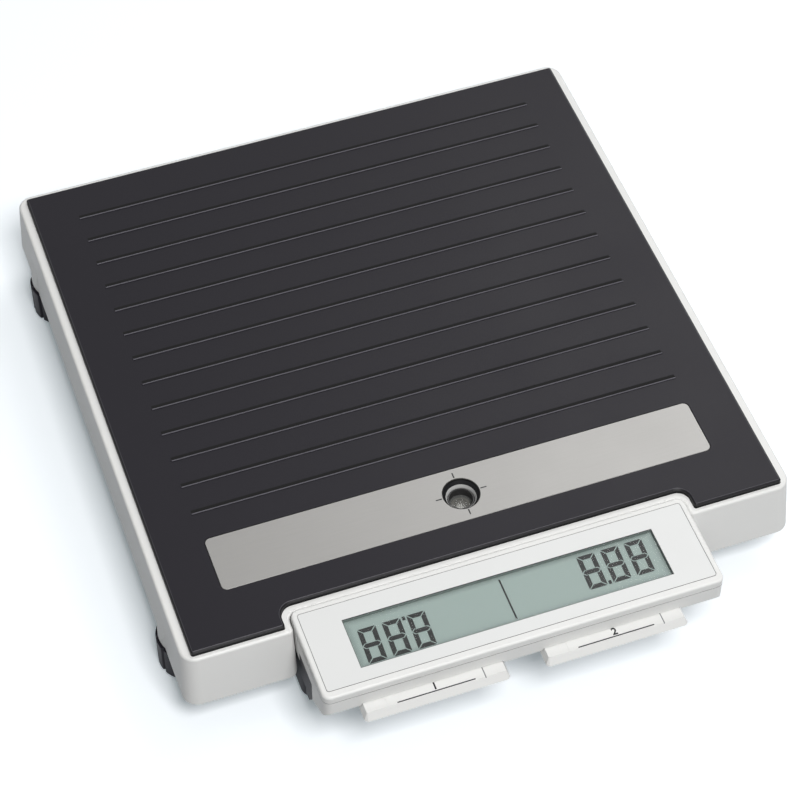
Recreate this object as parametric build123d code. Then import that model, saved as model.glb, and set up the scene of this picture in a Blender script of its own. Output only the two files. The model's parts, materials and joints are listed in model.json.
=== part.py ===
from build123d import *
import math
import os

# Electronic platform scale for a clinic. Millimetres, +Z up, the origin on the floor under the
# middle of the whole object. The console with its display and pedals is on the -Y side.

# Heights above the floor
MAT_TOP = 56.0
MAT_PROUD = 2.7
RIM_TOP = MAT_TOP - MAT_PROUD
MAT_SEAT = RIM_TOP - 1.0
ROOF_UNDER = MAT_SEAT - 3.0
SKIRT_BOTTOM = 21.8
PLATE_TOP = 42.0
PLATE_THICK = 2.0
PLATE_FLANGE = 6.0
PLATE_HALF = 132.0
PLATE_Y = (-114.5, 172.0)
BASE_BOTTOM = 6.0
FLOOR_TOP = 9.5
BASE_WALL_TOP = 30.0
CONSOLE_SEAT = 42.0
CONSOLE_PARTING = 51.8

# Cover; pairs give a wall's place at the skirt's bottom and at the rim
COVER_HALF = (156.4, 154.9)
COVER_FRONT = (-136.2, -132.0)
COVER_REAR = (182.1, 179.4)
COVER_CORNER = 8.0
COVER_WALL = 2.6
RIM_ROUND = 1.4
NOTCH_HALF = 100.8
NOTCH_BACK = -121.6
NOTCH_CORNER = 4.0
NOTCH_MOUTH = 2.5
NOTCH_LOWER_ROUND = 4.5
NOTCH_LIP_BOTTOM = 43.2
COVER_RIB = 2.0
COVER_RIB_X = (-112.0, -75.0, -25.0, 25.0, 75.0, 112.0)
COVER_RIB_Y = (-100.0, -55.0, -10.0, 30.0, 75.0, 120.0, 160.0)
BULGE_HEIGHT = 15.0
BULGE_INSET = 1.2

# Mat and its raised ribs
MAT_HALF = 150.0
MAT_FRONT = -129.3
MAT_REAR = 175.6
MAT_CORNER = 1.2
MAT_NOTCH_HALF = 104.25
MAT_NOTCH_BACK = -117.4
MAT_NOTCH_CORNER = 6.5
MAT_BEVEL = 1.0
MAT_GAP = 0.3
TREAD_COUNT = 13
TREAD_PITCH = 17.085
TREAD_LAST = 152.2
TREAD_LENGTH = 254.2
TREAD_WIDTH = 1.3
TREAD_HEIGHT = 0.6

# Trim strip and the level's hole in it
STRIP_HALF = 125.8
STRIP_FRONT = -100.6
STRIP_REAR = -69.2
STRIP_CORNER = 3.0
STRIP_THICK = 1.0
STRIP_GAP = 0.25
LEVEL_Y = -84.8
LEVEL_HOLE = 8.95
COLLAR_OUTER = 7.5
COLLAR_HOLE = 6.75
LEVEL_OUTER = 6.4
LEVEL_TOP = 51.6
VIAL_RADIUS = 5.9
VIAL_TOP = 47.2
VIAL_BOTTOM = 40.0
LEVEL_POST = 32.0
LEVEL_FLANGE = 9.5

# Console
CONSOLE_HALF = 100.3
CONSOLE_FRONT = -174.3
CONSOLE_REAR = -122.1
CONSOLE_CORNER = 4.0
CONSOLE_WALL = 2.5
CONSOLE_LIP = 40.6
CONSOLE_GROOVE = 0.4
CHEEK_REAR = -155.5
CHEEK_BOTTOM = 28.9
EAR_FRONT = -137.0
EAR_BOTTOM = 36.0
EAR_THICK = 2.5
EAR_GAP = 0.2
SCREW_HEAD_TOP = 32.0
FILM_HALF = 97.5
FILM_FRONT = -170.55
FILM_REAR = -125.25
FILM_THICK = 0.5
FILM_GAP = 0.15
WINDOW_HALF = 78.3
WINDOW_FRONT = -162.9
WINDOW_REAR = -135.3
BOARD_TOP = 49.8
BOARD_THICK = 1.6
BOARD_HALF = 85.0
BOARD_Y = (-169.0, -127.0)
GLASS_TOP = 54.3
GLASS_BOTTOM = 51.9
HOLDER_HALF = 82.0
HOLDER_Y = (-167.0, -131.0)
HOLDER_OPENING_HALF = 74.0
HOLDER_OPENING_Y = (-165.0, -133.0)
CONTACT_HALF = 70.0
CONTACT_Y = (-161.0, -137.2)

# Pedals, side by side, a little left of the console's middle
PEDAL_MIDDLE = -1.9
PEDAL_OFFSET = 45.1
PEDAL_FRONT = -182.1
PEDAL_BEVEL = 2.5
PEDAL_TOP = 43.5
PEDAL_BOTTOM = 39.5
PEDAL_HALF_TOP = 34.5
PEDAL_HALF_BOTTOM = 36.1
PEDAL_CORNER = 1.4
PEDAL_GAP = 0.6
PEDAL_MARK = 24.2
PEDAL_RISER_REAR = -169.5
PEDAL_LEVER_HALF = 33.0
MOUTH_BOTTOM = 36.4
WEB_THICK = 2.4
WEB_GAP = 0.4
WEB_TOP = 46.4
PIN_Y = -149.5
PIN_Z = 43.5
PIN_RADIUS = 1.25
BARREL_RADIUS = 2.4
LEVER_UNDER = 43.3
LEVER_TOP = 45.3
TAIL_REAR = -138.5
TAIL_TOP = 44.2
SPRING_Y = -161.5
SPRING_SEAT = 38.2
SPRING_RADIUS = 2.6
SPRING_WIRE = 0.35
SPRING_TURNS = 4
SWITCH_Y = -142.0
SWITCH_HALF = 3.1
SWITCH_BOTTOM = 45.0

# Stepped bracket in front of the base that carries the console
BRACKET_HALF = 99.5
BRACKET_STEP = -141.0
BRACKET_CORNER = 7.0
BRACKET_HIGH = 20.0
FLANGE_REAR = -137.0
FLANGE_BOTTOM = 37.0
FLANGE_STEP = -145.5
LEAD_PORT_HALF = 88.0
LEAD_PORT_BOTTOM = 14.0
BRACKET_SCREW_X = 93.0
BRACKET_SCREW_END = -123.5

# Base, inside the cover
BASE_HALF = 140.0
BASE_FRONT = -116.5
BASE_REAR = 176.0
BASE_CORNER = 10.0
BASE_WALL = 3.0
RIB_TOP = 19.0
RIB_THICK = 2.0
RIB_X = (-105.0, -60.0, 60.0, 105.0)
RIB_Y = (-60.0, -25.0, 37.0, 90.0, 130.0)

# Levelling feet
FOOT_X = 143.6
FOOT_FRONT = -94.0
FOOT_REAR = 145.6
WHEEL_RADIUS = 15.4
WHEEL_BOTTOM = 2.1
WHEEL_TOP = 20.6
WHEEL_GROOVES = 12
GROOVE_DEPTH = 1.3
GROOVE_SPREAD = 4.0
BUSH_RADIUS = 6.5
BUSH_TOP = 34.0
SPINDLE_RADIUS = 5.0
SPINDLE_TOP = 36.0
PAD_RADIUS = 12.5
PAD_HUB = 4.0
RUNNING = 0.05

# Load cells, bending beams along Y
CELL_X = 116.0
CELL_WIDTH = 12.7
CELL_LENGTH = 60.0
CELL_BOTTOM = 25.3
CELL_TOP = 38.0
CELL_FRONT_END = -112.0
CELL_REAR_END = 165.0

# Battery bay under the base
BATTERY_COUNT = 4
BATTERY_RADIUS = 7.15
BATTERY_LENGTH = 50.0
BAY_HALF = 31.0
BAY_Y = (8.0, 66.0)
BAY_ROOF = 25.0
DOOR_HALF = 34.0
DOOR_Y = (4.8, 69.2)
DOOR_THICK = 2.2
DOOR_GAP = 0.3

FEET = {
    "front_left": (-FOOT_X, FOOT_FRONT),
    "front_right": (FOOT_X, FOOT_FRONT),
    "rear_left": (-FOOT_X, FOOT_REAR),
    "rear_right": (FOOT_X, FOOT_REAR),
}
GROOVE_ANGLES = {"front_left": 171.5, "front_right": 8.5, "rear_left": 181.0, "rear_right": 14.0}
SIDES = {"left": -1, "right": 1}
PLATE_SCREWS = [(x, y) for x in (-75.0, 75.0) for y in (-100.0, 30.0, 160.0)]
CONSOLE_SCREWS = [(x, y) for x in (-91.0, 91.0) for y in (-147.0, -128.5)]
BRACKET_SCREWS = [(x, z) for x in (-BRACKET_SCREW_X, BRACKET_SCREW_X) for z in (13.5, 24.0)]
PEDALS = {name: PEDAL_MIDDLE + side * PEDAL_OFFSET for name, side in SIDES.items()}


def block(x, y, z):
    """A box between the low and high ends given for each axis."""
    size = [high - low for low, high in (x, y, z)]
    centre = [(low + high) / 2 for low, high in (x, y, z)]
    return Pos(*centre) * Box(*size)


def disc(x, y, z, radius):
    """An upright cylinder between two heights."""
    return Pos(x, y, (z[0] + z[1]) / 2) * Cylinder(radius, z[1] - z[0])


def plate_outline(x, y, radius):
    """A rectangle with rounded corners, in plan."""
    centre = Pos((x[0] + x[1]) / 2, (y[0] + y[1]) / 2)
    return centre * RectangleRounded(x[1] - x[0], y[1] - y[0], radius)


def slab(x, y, z, radius, taper=0.0):
    """A plate with rounded upright corners, narrowing upwards by the taper."""
    outline = Pos(0, 0, z[0]) * plate_outline(x, y, radius)
    return extrude(outline, z[1] - z[0], taper=taper)


def side_profile(points, x):
    """A solid from an outline of (y, z) points, running between two values of x."""
    outline = make_face(Polyline(*[(x[0], y, z) for y, z in points], close=True))
    return extrude(outline, x[1] - x[0], dir=(1, 0, 0))


# Platform


def mat_plan(gap=0.0):
    """The mat's outline with the notch for the console, larger by the gap all round."""
    half = MAT_HALF + gap
    notch = MAT_NOTCH_HALF - gap
    front = MAT_FRONT - gap
    plan = plate_outline((-half, half), (front, MAT_REAR + gap), MAT_CORNER + gap)
    depth = (front - 20.0, MAT_NOTCH_BACK - gap)
    plan -= plate_outline((-notch, notch), depth, MAT_NOTCH_CORNER - gap)
    mouth = [v for v in plan.vertices() if abs(abs(v.X) - notch) < 0.1 and v.Y < front + 0.1]
    return fillet(mouth, MAT_CORNER)


def wall_place(pair, z):
    """A cover wall's place at a height, from its pair for the skirt's bottom and the rim."""
    share = (z - SKIRT_BOTTOM) / (RIM_TOP - SKIRT_BOTTOM)
    return pair[0] + share * (pair[1] - pair[0])


def cover_body(top, inset=0.0):
    """The cover's outer form up to a height, with every wall moved in by the inset."""
    low, high = (
        [wall_place(pair, z) - inset for pair in (COVER_HALF, COVER_REAR)]
        + [wall_place(COVER_FRONT, z) + inset]
        for z in (SKIRT_BOTTOM, top)
    )
    along = side_profile(
        [(low[2], SKIRT_BOTTOM), (low[1], SKIRT_BOTTOM), (high[1], top), (high[2], top)],
        (-low[0], low[0]),
    )
    across = [
        (-low[0], low[2], SKIRT_BOTTOM), (low[0], low[2], SKIRT_BOTTOM),
        (high[0], low[2], top), (-high[0], low[2], top),
    ]
    face = make_face(Polyline(*across, close=True))
    body = along & extrude(face, low[1] - low[2], dir=(0, 1, 0))
    corners = [edge for edge in body.edges() if edge.bounding_box().size.Z > top / 3]
    return fillet(corners, COVER_CORNER - inset)


def cover_bulge(x, y):
    """The crescent bulge of the skirt over a foot wheel, a flared facet cut by a cylinder."""
    side = math.copysign(1.0, x)
    outer = FOOT_X + WHEEL_RADIUS - BULGE_INSET
    top = SKIRT_BOTTOM + BULGE_HEIGHT
    inner = wall_place(COVER_HALF, top) - COVER_WALL / 2
    points = [
        (side * inner, SKIRT_BOTTOM),
        (side * outer, SKIRT_BOTTOM),
        (side * outer, SKIRT_BOTTOM + 1.2),
        (side * (inner + COVER_WALL / 2), top),
        (side * inner, top),
    ]
    low = y - WHEEL_RADIUS
    outline = make_face(Polyline(*[(px, low, pz) for px, pz in points], close=True))
    facet = extrude(outline, 2 * WHEEL_RADIUS, dir=(0, 1, 0))
    return facet & disc(x, y, (SKIRT_BOTTOM, top), outer - FOOT_X)


def notch_rounding(side):
    """What is cut from the front wall's lower corner beside the console."""
    radius = NOTCH_LOWER_ROUND
    x = side * (NOTCH_HALF + radius)
    y = (COVER_FRONT[0] - 1.0, NOTCH_BACK + COVER_WALL + 1.0)
    corner = block(sorted((side * (NOTCH_HALF - 1.0), x)), y, (0, SKIRT_BOTTOM + radius))
    return corner - along_y(x, SKIRT_BOTTOM + radius, y, radius)


def make_top_cover():
    """The white cover: sloping skirt, rim round the mat, notch, ribs under the roof."""
    skirt = cover_body(RIM_TOP)
    notch_y = (COVER_FRONT[0] - 30.0, NOTCH_BACK)
    skirt -= slab((-NOTCH_HALF, NOTCH_HALF), notch_y, (0, MAT_TOP), NOTCH_CORNER)
    mouth = [
        edge for edge in skirt.edges()
        if abs(abs(edge.center().X) - NOTCH_HALF) < 0.6
        and edge.center().Y < COVER_FRONT[1]
        and edge.bounding_box().size.Z > 20.0
    ]
    skirt = fillet(mouth, NOTCH_MOUTH)
    rim = skirt.faces().sort_by(Axis.Z)[-1].outer_wire().edges()
    skirt = fillet(rim, RIM_ROUND)

    hollow = cover_body(ROOF_UNDER, COVER_WALL)
    around = NOTCH_HALF + COVER_WALL
    hollow -= slab(
        (-around, around), (notch_y[0], NOTCH_BACK + COVER_WALL), (0, MAT_TOP),
        NOTCH_CORNER + COVER_WALL,
    )
    ribs = Pos(0, 0, PLATE_TOP) * extrude(rib_plan(), ROOF_UNDER - PLATE_TOP + 0.01)
    cover = skirt - (hollow - ribs)
    passage = (COVER_FRONT[0], NOTCH_BACK + 2 * COVER_WALL)
    cover -= block((-NOTCH_HALF, NOTCH_HALF), passage, (0, NOTCH_LIP_BOTTOM))
    for side in SIDES.values():
        cover -= notch_rounding(side)
    cover -= Pos(0, 0, MAT_SEAT) * extrude(mat_plan(MAT_GAP), 5.0)

    cover += disc(0, LEVEL_Y, (MAT_SEAT - 0.5, RIM_TOP), COLLAR_OUTER)
    cover -= disc(0, LEVEL_Y, (ROOF_UNDER - 8, RIM_TOP), COLLAR_HOLE)
    cone = Cone(COLLAR_HOLE, COLLAR_OUTER - 0.1, 1.5)
    cover -= Pos(0, LEVEL_Y, RIM_TOP - 0.75) * cone
    for x, y in PLATE_SCREWS:
        cover -= disc(x, y, (PLATE_TOP - 1, ROOF_UNDER - 0.5), 1.65)
    for x, y in FEET.values():
        cover += cover_bulge(x, y)
    return cover


def rib_plan():
    """The grid of stiffening ribs under the cover's roof, with a boss for each screw."""
    front, rear = COVER_RIB_X[0], COVER_REAR[1]
    ribs = Sketch()
    for x in COVER_RIB_X:
        ribs += Pos(x, (front + rear) / 2) * Rectangle(COVER_RIB, rear - front)
    for y in COVER_RIB_Y:
        ribs += Pos(0, y) * Rectangle(2 * COVER_HALF[0], COVER_RIB)
    for x, y in PLATE_SCREWS:
        ribs += Pos(x, y) * Circle(4.5)
    return ribs - Pos(0, LEVEL_Y) * Circle(LEVEL_HOLE + 2)


def make_tread_mat():
    """The mat: bevelled top edge, raised ribs, recess for the strip, dished level hole."""
    mat = Pos(0, 0, MAT_SEAT) * extrude(mat_plan(), MAT_TOP - MAT_SEAT)
    top = mat.faces().sort_by(Axis.Z)[-1]
    mat = chamfer(top.outer_wire().edges(), MAT_BEVEL * 0.8, MAT_BEVEL)
    for row in range(TREAD_COUNT):
        y = TREAD_LAST - row * TREAD_PITCH
        tread = Pos(0, y, MAT_TOP) * SlotOverall(TREAD_LENGTH, TREAD_WIDTH)
        mat += extrude(tread, TREAD_HEIGHT, taper=20.0)
    half = STRIP_HALF + STRIP_GAP
    recess = (STRIP_FRONT - STRIP_GAP, STRIP_REAR + STRIP_GAP)
    seat = MAT_TOP - STRIP_THICK - 0.1
    mat -= slab((-half, half), recess, (seat, MAT_TOP + 1), STRIP_CORNER + STRIP_GAP)
    bore = COLLAR_OUTER + 0.15
    mat -= disc(0, LEVEL_Y, (MAT_SEAT, MAT_TOP), bore)
    cone = Cone(bore, LEVEL_HOLE, seat - RIM_TOP)
    return mat - Pos(0, LEVEL_Y, (seat + RIM_TOP) / 2) * cone


def make_trim_strip():
    """The satin strip in the mat, with the level's hole."""
    top = MAT_TOP - 0.1
    z = (top - STRIP_THICK, top)
    strip = slab((-STRIP_HALF, STRIP_HALF), (STRIP_FRONT, STRIP_REAR), z, STRIP_CORNER)
    strip -= disc(0, LEVEL_Y, z, LEVEL_HOLE)
    upper = [e for e in strip.edges() if e.center().Z > top - 0.01]
    return chamfer(upper, 0.2)


def make_platform_plate():
    """The steel plate under the cover, with folded edges and a hole for the level."""
    z = (PLATE_TOP - PLATE_THICK - PLATE_FLANGE, PLATE_TOP)
    plate = slab((-PLATE_HALF, PLATE_HALF), PLATE_Y, z, 8.0)
    half = PLATE_HALF - PLATE_THICK
    inside_y = (PLATE_Y[0] + PLATE_THICK, PLATE_Y[1] - PLATE_THICK)
    plate -= slab((-half, half), inside_y, (z[0], PLATE_TOP - PLATE_THICK), 6.0)
    plate -= disc(0, LEVEL_Y, z, LEVEL_HOLE + 2)
    for x, screw_y in PLATE_SCREWS:
        plate -= disc(x, screw_y, z, 2.0)
    return plate


def cell_ends():
    """For each foot: the load cell's x, its free end's y and the direction to its fixed end."""
    for name, (x, y) in FEET.items():
        forward = y < 0
        end = CELL_FRONT_END if forward else CELL_REAR_END
        yield name, math.copysign(CELL_X, x), end, 1 if forward else -1


def make_load_pads():
    """A hardened pad under the plate over the free end of each load cell."""
    plate_under = PLATE_TOP - PLATE_THICK
    return [
        disc(x, end + way * 7.0, (CELL_TOP, plate_under), 5.5) for _, x, end, way in cell_ends()
    ]


def make_plate_screws():
    """Pan-head screws from below, through the plate into the cover's bosses."""
    under = PLATE_TOP - PLATE_THICK
    screws = []
    for x, y in PLATE_SCREWS:
        head = disc(x, y, (under - 2.2, under), 3.6)
        screws.append(head + disc(x, y, (under, ROOF_UNDER - 2), 1.6))
    return screws


# Base


def make_base_frame():
    """The dark tray that carries the feet, the load cells and the level."""
    half = BASE_HALF
    z = (BASE_BOTTOM, BASE_WALL_TOP)
    frame = slab((-half, half), (BASE_FRONT, BASE_REAR), z, BASE_CORNER)
    inner_y = (BASE_FRONT + BASE_WALL, BASE_REAR - BASE_WALL)
    inner_x = half - BASE_WALL
    well = slab((-inner_x, inner_x), inner_y, (FLOOR_TOP, BASE_WALL_TOP), BASE_CORNER - BASE_WALL)
    frame -= well
    frame += tray_ribs() & well
    port = (BASE_FRONT, BASE_FRONT + BASE_WALL)
    frame -= block((-LEAD_PORT_HALF, LEAD_PORT_HALF), port, (LEAD_PORT_BOTTOM, BASE_WALL_TOP))
    for x, z_screw in BRACKET_SCREWS:
        frame -= along_y(x, z_screw, port, 1.8)

    for x, y in FEET.values():
        frame += foot_housing(x, y)
    for x, y in FEET.values():
        frame -= disc(x, y, (BASE_BOTTOM, WHEEL_TOP + 0.3), WHEEL_RADIUS + 2.0)
        frame -= disc(x, y, (0, BUSH_TOP), BUSH_RADIUS)

    for _, x, end, way in cell_ends():
        far = end + way * CELL_LENGTH
        near = far - way * 18.0
        boss_x = (x - CELL_WIDTH / 2, x + CELL_WIDTH / 2)
        frame += block(boss_x, sorted((near, far)), (BASE_BOTTOM, CELL_BOTTOM))
        for y in cell_screw_rows(end, way):
            frame -= disc(x, y, (BASE_BOTTOM, BASE_BOTTOM + 7.0), 4.8)
            frame -= disc(x, y, (BASE_BOTTOM, CELL_BOTTOM), 2.6)

    frame += disc(0, LEVEL_Y, (BASE_BOTTOM, LEVEL_POST), LEVEL_FLANGE)
    return battery_bay(frame)


def tray_ribs():
    """Low ribs across the tray's floor."""
    height = (FLOOR_TOP - 1.0, RIB_TOP)
    ribs = Part()
    for x in RIB_X:
        ribs += block((x - RIB_THICK / 2, x + RIB_THICK / 2), (BASE_FRONT, BASE_REAR), height)
    for y in RIB_Y:
        ribs += block((-BASE_HALF, BASE_HALF), (y - RIB_THICK / 2, y + RIB_THICK / 2), height)
    return ribs


def make_console_bracket():
    """The stepped dark box on the tray's front wall, on which the console stands."""
    wall = BASE_WALL
    low = block((-BRACKET_HALF, BRACKET_HALF), (BRACKET_STEP, BASE_FRONT), (BASE_BOTTOM, CONSOLE_SEAT))
    corners = [
        edge for edge in low.edges().filter_by(Axis.Z) if edge.center().Y < BRACKET_STEP + 0.1
    ]
    link = block(
        (-BRACKET_HALF, BRACKET_HALF), (FLANGE_STEP, BRACKET_STEP + BRACKET_CORNER),
        (BRACKET_HIGH, CONSOLE_SEAT),
    )
    form = fillet(corners, BRACKET_CORNER) + link + bracket_arm()
    inner = (wall - BRACKET_HALF, BRACKET_HALF - wall)
    bracket = form - block(inner, (BRACKET_STEP + wall, BASE_FRONT - wall), (FLOOR_TOP, CONSOLE_SEAT))
    front = CHEEK_REAR + wall
    hollow = [
        (BRACKET_STEP + wall, CONSOLE_SEAT), (front, CONSOLE_SEAT),
        (front, CHEEK_BOTTOM + 1.2), (FLANGE_STEP - wall, BRACKET_HIGH + wall + 0.4),
        (BRACKET_STEP + wall, BRACKET_HIGH + wall),
    ]
    bracket -= side_profile(hollow, inner)
    port = (BASE_FRONT - wall, BASE_FRONT)
    bracket -= block((-LEAD_PORT_HALF, LEAD_PORT_HALF), port, (LEAD_PORT_BOTTOM, BASE_WALL_TOP))
    for screw_x, z in BRACKET_SCREWS:
        side = math.copysign(1.0, screw_x)
        boss = sorted((side * (BRACKET_SCREW_X - 3.5), side * (BRACKET_HALF - wall)))
        bracket += block(boss, (BRACKET_SCREW_END - 1.0, BASE_FRONT), (z - 4.0, z + 4.0))
    for screw_x, y in CONSOLE_SCREWS:
        bracket += disc(screw_x, y, (BASE_BOTTOM, CONSOLE_SEAT), 4.5) & form
        bracket -= disc(screw_x, y, (BASE_BOTTOM, SCREW_HEAD_TOP), 3.2)
        bracket -= disc(screw_x, y, (BASE_BOTTOM, CONSOLE_SEAT), 1.6)
    for screw_x, z in BRACKET_SCREWS:
        bracket -= along_y(screw_x, z, (BRACKET_SCREW_END, BASE_FRONT), 1.6)
    for side in SIDES.values():
        bracket -= console_ear(side, EAR_GAP)
    return bracket


def bracket_arm():
    """The bracket's upper front part with a flange that stands proud at both ends."""
    outline = [
        (FLANGE_REAR, CONSOLE_SEAT), (FLANGE_REAR, FLANGE_BOTTOM), (FLANGE_STEP, FLANGE_BOTTOM),
        (FLANGE_STEP, BRACKET_HIGH), (FLANGE_STEP - 4.5, BRACKET_HIGH + 0.5),
        (CHEEK_REAR, CHEEK_BOTTOM), (CHEEK_REAR, CONSOLE_SEAT),
    ]
    return side_profile(outline, (-CONSOLE_HALF, CONSOLE_HALF))


def console_ear(side, gap=0.0):
    """The tab at a console end that reaches down over the bracket, or the larger pocket for it."""
    x = sorted((side * (CONSOLE_HALF - EAR_THICK - gap), side * (CONSOLE_HALF + gap)))
    return block(x, (EAR_FRONT - gap, CONSOLE_REAR + gap), (EAR_BOTTOM - gap, CONSOLE_SEAT))


def make_bracket_screws():
    """Screws from inside the tray through its front wall into the bracket."""
    inside = BASE_FRONT + BASE_WALL
    return [
        along_y(x, z, (inside, inside + 2.2), 3.0) + along_y(x, z, (BRACKET_SCREW_END, inside), 1.6)
        for x, z in BRACKET_SCREWS
    ]


def foot_housing(x, y):
    """The round housing over a foot wheel and the boss for the threaded bush."""
    limit = block((-BASE_HALF, BASE_HALF), (y - 30, y + 30), (0, MAT_TOP))
    housing = disc(x, y, (BASE_BOTTOM, WHEEL_TOP + 3.5), WHEEL_RADIUS + 4.5) & limit
    ear_limit = block((-FOOT_X - 8.0, FOOT_X + 8.0), (y - 30, y + 30), (0, MAT_TOP))
    ear = disc(x, y, (WHEEL_TOP + 0.3, WHEEL_TOP + 3.5), 14.0) & ear_limit
    return housing + ear + disc(x, y, (WHEEL_TOP + 0.3, BUSH_TOP), 8.0)


def cell_screw_rows(end, way):
    """The y of the two screws in a load cell's fixed end."""
    return [end + way * (CELL_LENGTH - step) for step in (4.5, 13.5)]


def battery_bay(frame):
    """The battery bay let into the tray's floor, with the door's recess and pivot holes."""
    wall = 2.0
    outer = BAY_HALF + wall
    bay_y = (BAY_Y[0] - wall, BAY_Y[1] + wall)
    frame += block((-outer, outer), bay_y, (BASE_BOTTOM, BAY_ROOF + wall))
    pivot_y, pivot_z = door_pivot()
    for side in (-1, 1):
        boss = sorted((side * (DOOR_HALF - 1.0), side * (DOOR_HALF + 4.5)))
        frame += block(boss, (pivot_y - 3.0, pivot_y + 3.0), (BASE_BOTTOM, FLOOR_TOP + 1.5))
    frame -= block((-BAY_HALF, BAY_HALF), BAY_Y, (BASE_BOTTOM, BAY_ROOF))
    recess = DOOR_HALF + DOOR_GAP
    recess_y = (DOOR_Y[0] - DOOR_GAP, DOOR_Y[1] + DOOR_GAP)
    top = BASE_BOTTOM + DOOR_THICK + 0.2
    frame -= block((-recess, recess), recess_y, (BASE_BOTTOM, top))
    trunnions = Pos(0, pivot_y, pivot_z) * Rot(0, 90, 0) * Cylinder(1.0, 2 * DOOR_HALF + 5.0)
    frame -= trunnions
    thumb = Pos(0, DOOR_Y[1], BASE_BOTTOM) * scale(Sphere(1), (9.0, 7.0, 1.8))
    return frame - thumb


def door_pivot():
    """The y and z of the battery door's pivot line, inside its rounded front edge."""
    return DOOR_Y[0] + DOOR_THICK / 2, BASE_BOTTOM + DOOR_THICK / 2


def make_battery_door():
    """The door with a round pivoting edge, two trunnions and a grooved thumb field."""
    pivot_y, pivot_z = door_pivot()
    z = (BASE_BOTTOM, BASE_BOTTOM + DOOR_THICK)
    door = block((-DOOR_HALF, DOOR_HALF), (pivot_y, DOOR_Y[1]), z)
    axis = Pos(0, pivot_y, pivot_z) * Rot(0, 90, 0)
    door += axis * Cylinder(DOOR_THICK / 2, 2 * DOOR_HALF)
    door += axis * Cylinder(0.94, 2 * DOOR_HALF + 4.0)
    for row in range(5):
        y = DOOR_Y[1] - 5.0 - 2.2 * row
        door -= block((-10.0, 10.0), (y, y + 0.9), (z[0], z[0] + 0.5))
    return door


def battery_centres():
    """The x of each battery cell's axis."""
    pitch = 2 * BATTERY_RADIUS + 0.6
    return [(n - (BATTERY_COUNT - 1) / 2) * pitch for n in range(BATTERY_COUNT)]


def along_y(x, z, y, radius):
    """A cylinder along Y between two values of y."""
    return Pos(x, (y[0] + y[1]) / 2, z) * Rot(90, 0, 0) * Cylinder(radius, y[1] - y[0])


def make_batteries():
    """Four round cells side by side, each turned the other way from its neighbour."""
    z = BASE_BOTTOM + DOOR_THICK + 1.2 + BATTERY_RADIUS
    middle = sum(BAY_Y) / 2
    cells = []
    for number, x in enumerate(battery_centres()):
        way = 1 if number % 2 else -1
        y = (middle - BATTERY_LENGTH / 2, middle + BATTERY_LENGTH / 2)
        tip = middle + way * (BATTERY_LENGTH / 2 + 0.5)
        nub = sorted((tip - way * 1.0, tip + way * 0.5))
        cells.append(along_y(x, z, y, BATTERY_RADIUS) + along_y(x, z, nub, 2.7))
    return cells


def make_battery_contacts():
    """Spring strips at both ends of the bay, each joining two cells."""
    z = (BASE_BOTTOM + DOOR_THICK + 2.0, BAY_ROOF - 2.0)
    centres = battery_centres()
    reach = BATTERY_RADIUS - 1.0
    strips = []
    pairs = (centres[:2], centres[2:])
    ends = (centres[:1], centres[1:3], centres[3:])
    for y, inward, groups in ((BAY_Y[0], 0.6, pairs), (BAY_Y[1], -0.6, ends)):
        for group in groups:
            x = (group[0] - reach, group[-1] + reach)
            strips.append(block(x, sorted((y, y + inward)), z))
    return strips


def make_foot_bushes():
    """A threaded brass bush in the base over each foot."""
    low = WHEEL_TOP + 0.3
    return [
        disc(x, y, (low, BUSH_TOP), BUSH_RADIUS)
        - disc(x, y, (low, BUSH_TOP), SPINDLE_RADIUS + RUNNING)
        for x, y in FEET.values()
    ]


def make_foot_wheel(x, y, groove_angle):
    """A grooved hand wheel, bored for the spindle and the pad's hub."""
    plan = Pos(x, y, WHEEL_BOTTOM) * wheel_plan(groove_angle)
    wheel = extrude(plan, WHEEL_TOP - WHEEL_BOTTOM)
    wheel -= disc(x, y, (12.0, WHEEL_TOP), SPINDLE_RADIUS)
    return wheel - disc(x, y, (WHEEL_BOTTOM, 7.2), PAD_HUB + RUNNING)


def wheel_plan(groove_angle):
    """A round outline of broad lobes with a narrow groove between each two."""
    pitch = 360.0 / WHEEL_GROOVES
    edges = []
    for number in range(WHEEL_GROOVES):
        groove = groove_angle + number * pitch
        start = polar(WHEEL_RADIUS, groove + GROOVE_SPREAD)
        middle = polar(WHEEL_RADIUS, groove + pitch / 2)
        end = polar(WHEEL_RADIUS, groove + pitch - GROOVE_SPREAD)
        edges.append(Line(polar(WHEEL_RADIUS - GROOVE_DEPTH, groove), start))
        edges.append(ThreePointArc(start, middle, end))
        edges.append(Line(end, polar(WHEEL_RADIUS - GROOVE_DEPTH, groove + pitch)))
    return make_face(edges)


def polar(radius, degrees):
    """The point at an angle on a circle round the origin."""
    angle = math.radians(degrees)
    return radius * math.cos(angle), radius * math.sin(angle)


def make_foot_spindle(x, y):
    """The stud that the wheel turns in its bush."""
    stud = disc(x, y, (12.0, SPINDLE_TOP), SPINDLE_RADIUS)
    return chamfer(stud.edges().sort_by(Axis.Z)[-1], 0.8)


def make_foot_pad(x, y):
    """The rubber pad under a foot, with the hub that the wheel turns on."""
    pad = disc(x, y, (0, 2.0), PAD_RADIUS)
    return pad + disc(x, y, (1.0, 7.0), PAD_HUB)


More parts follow.
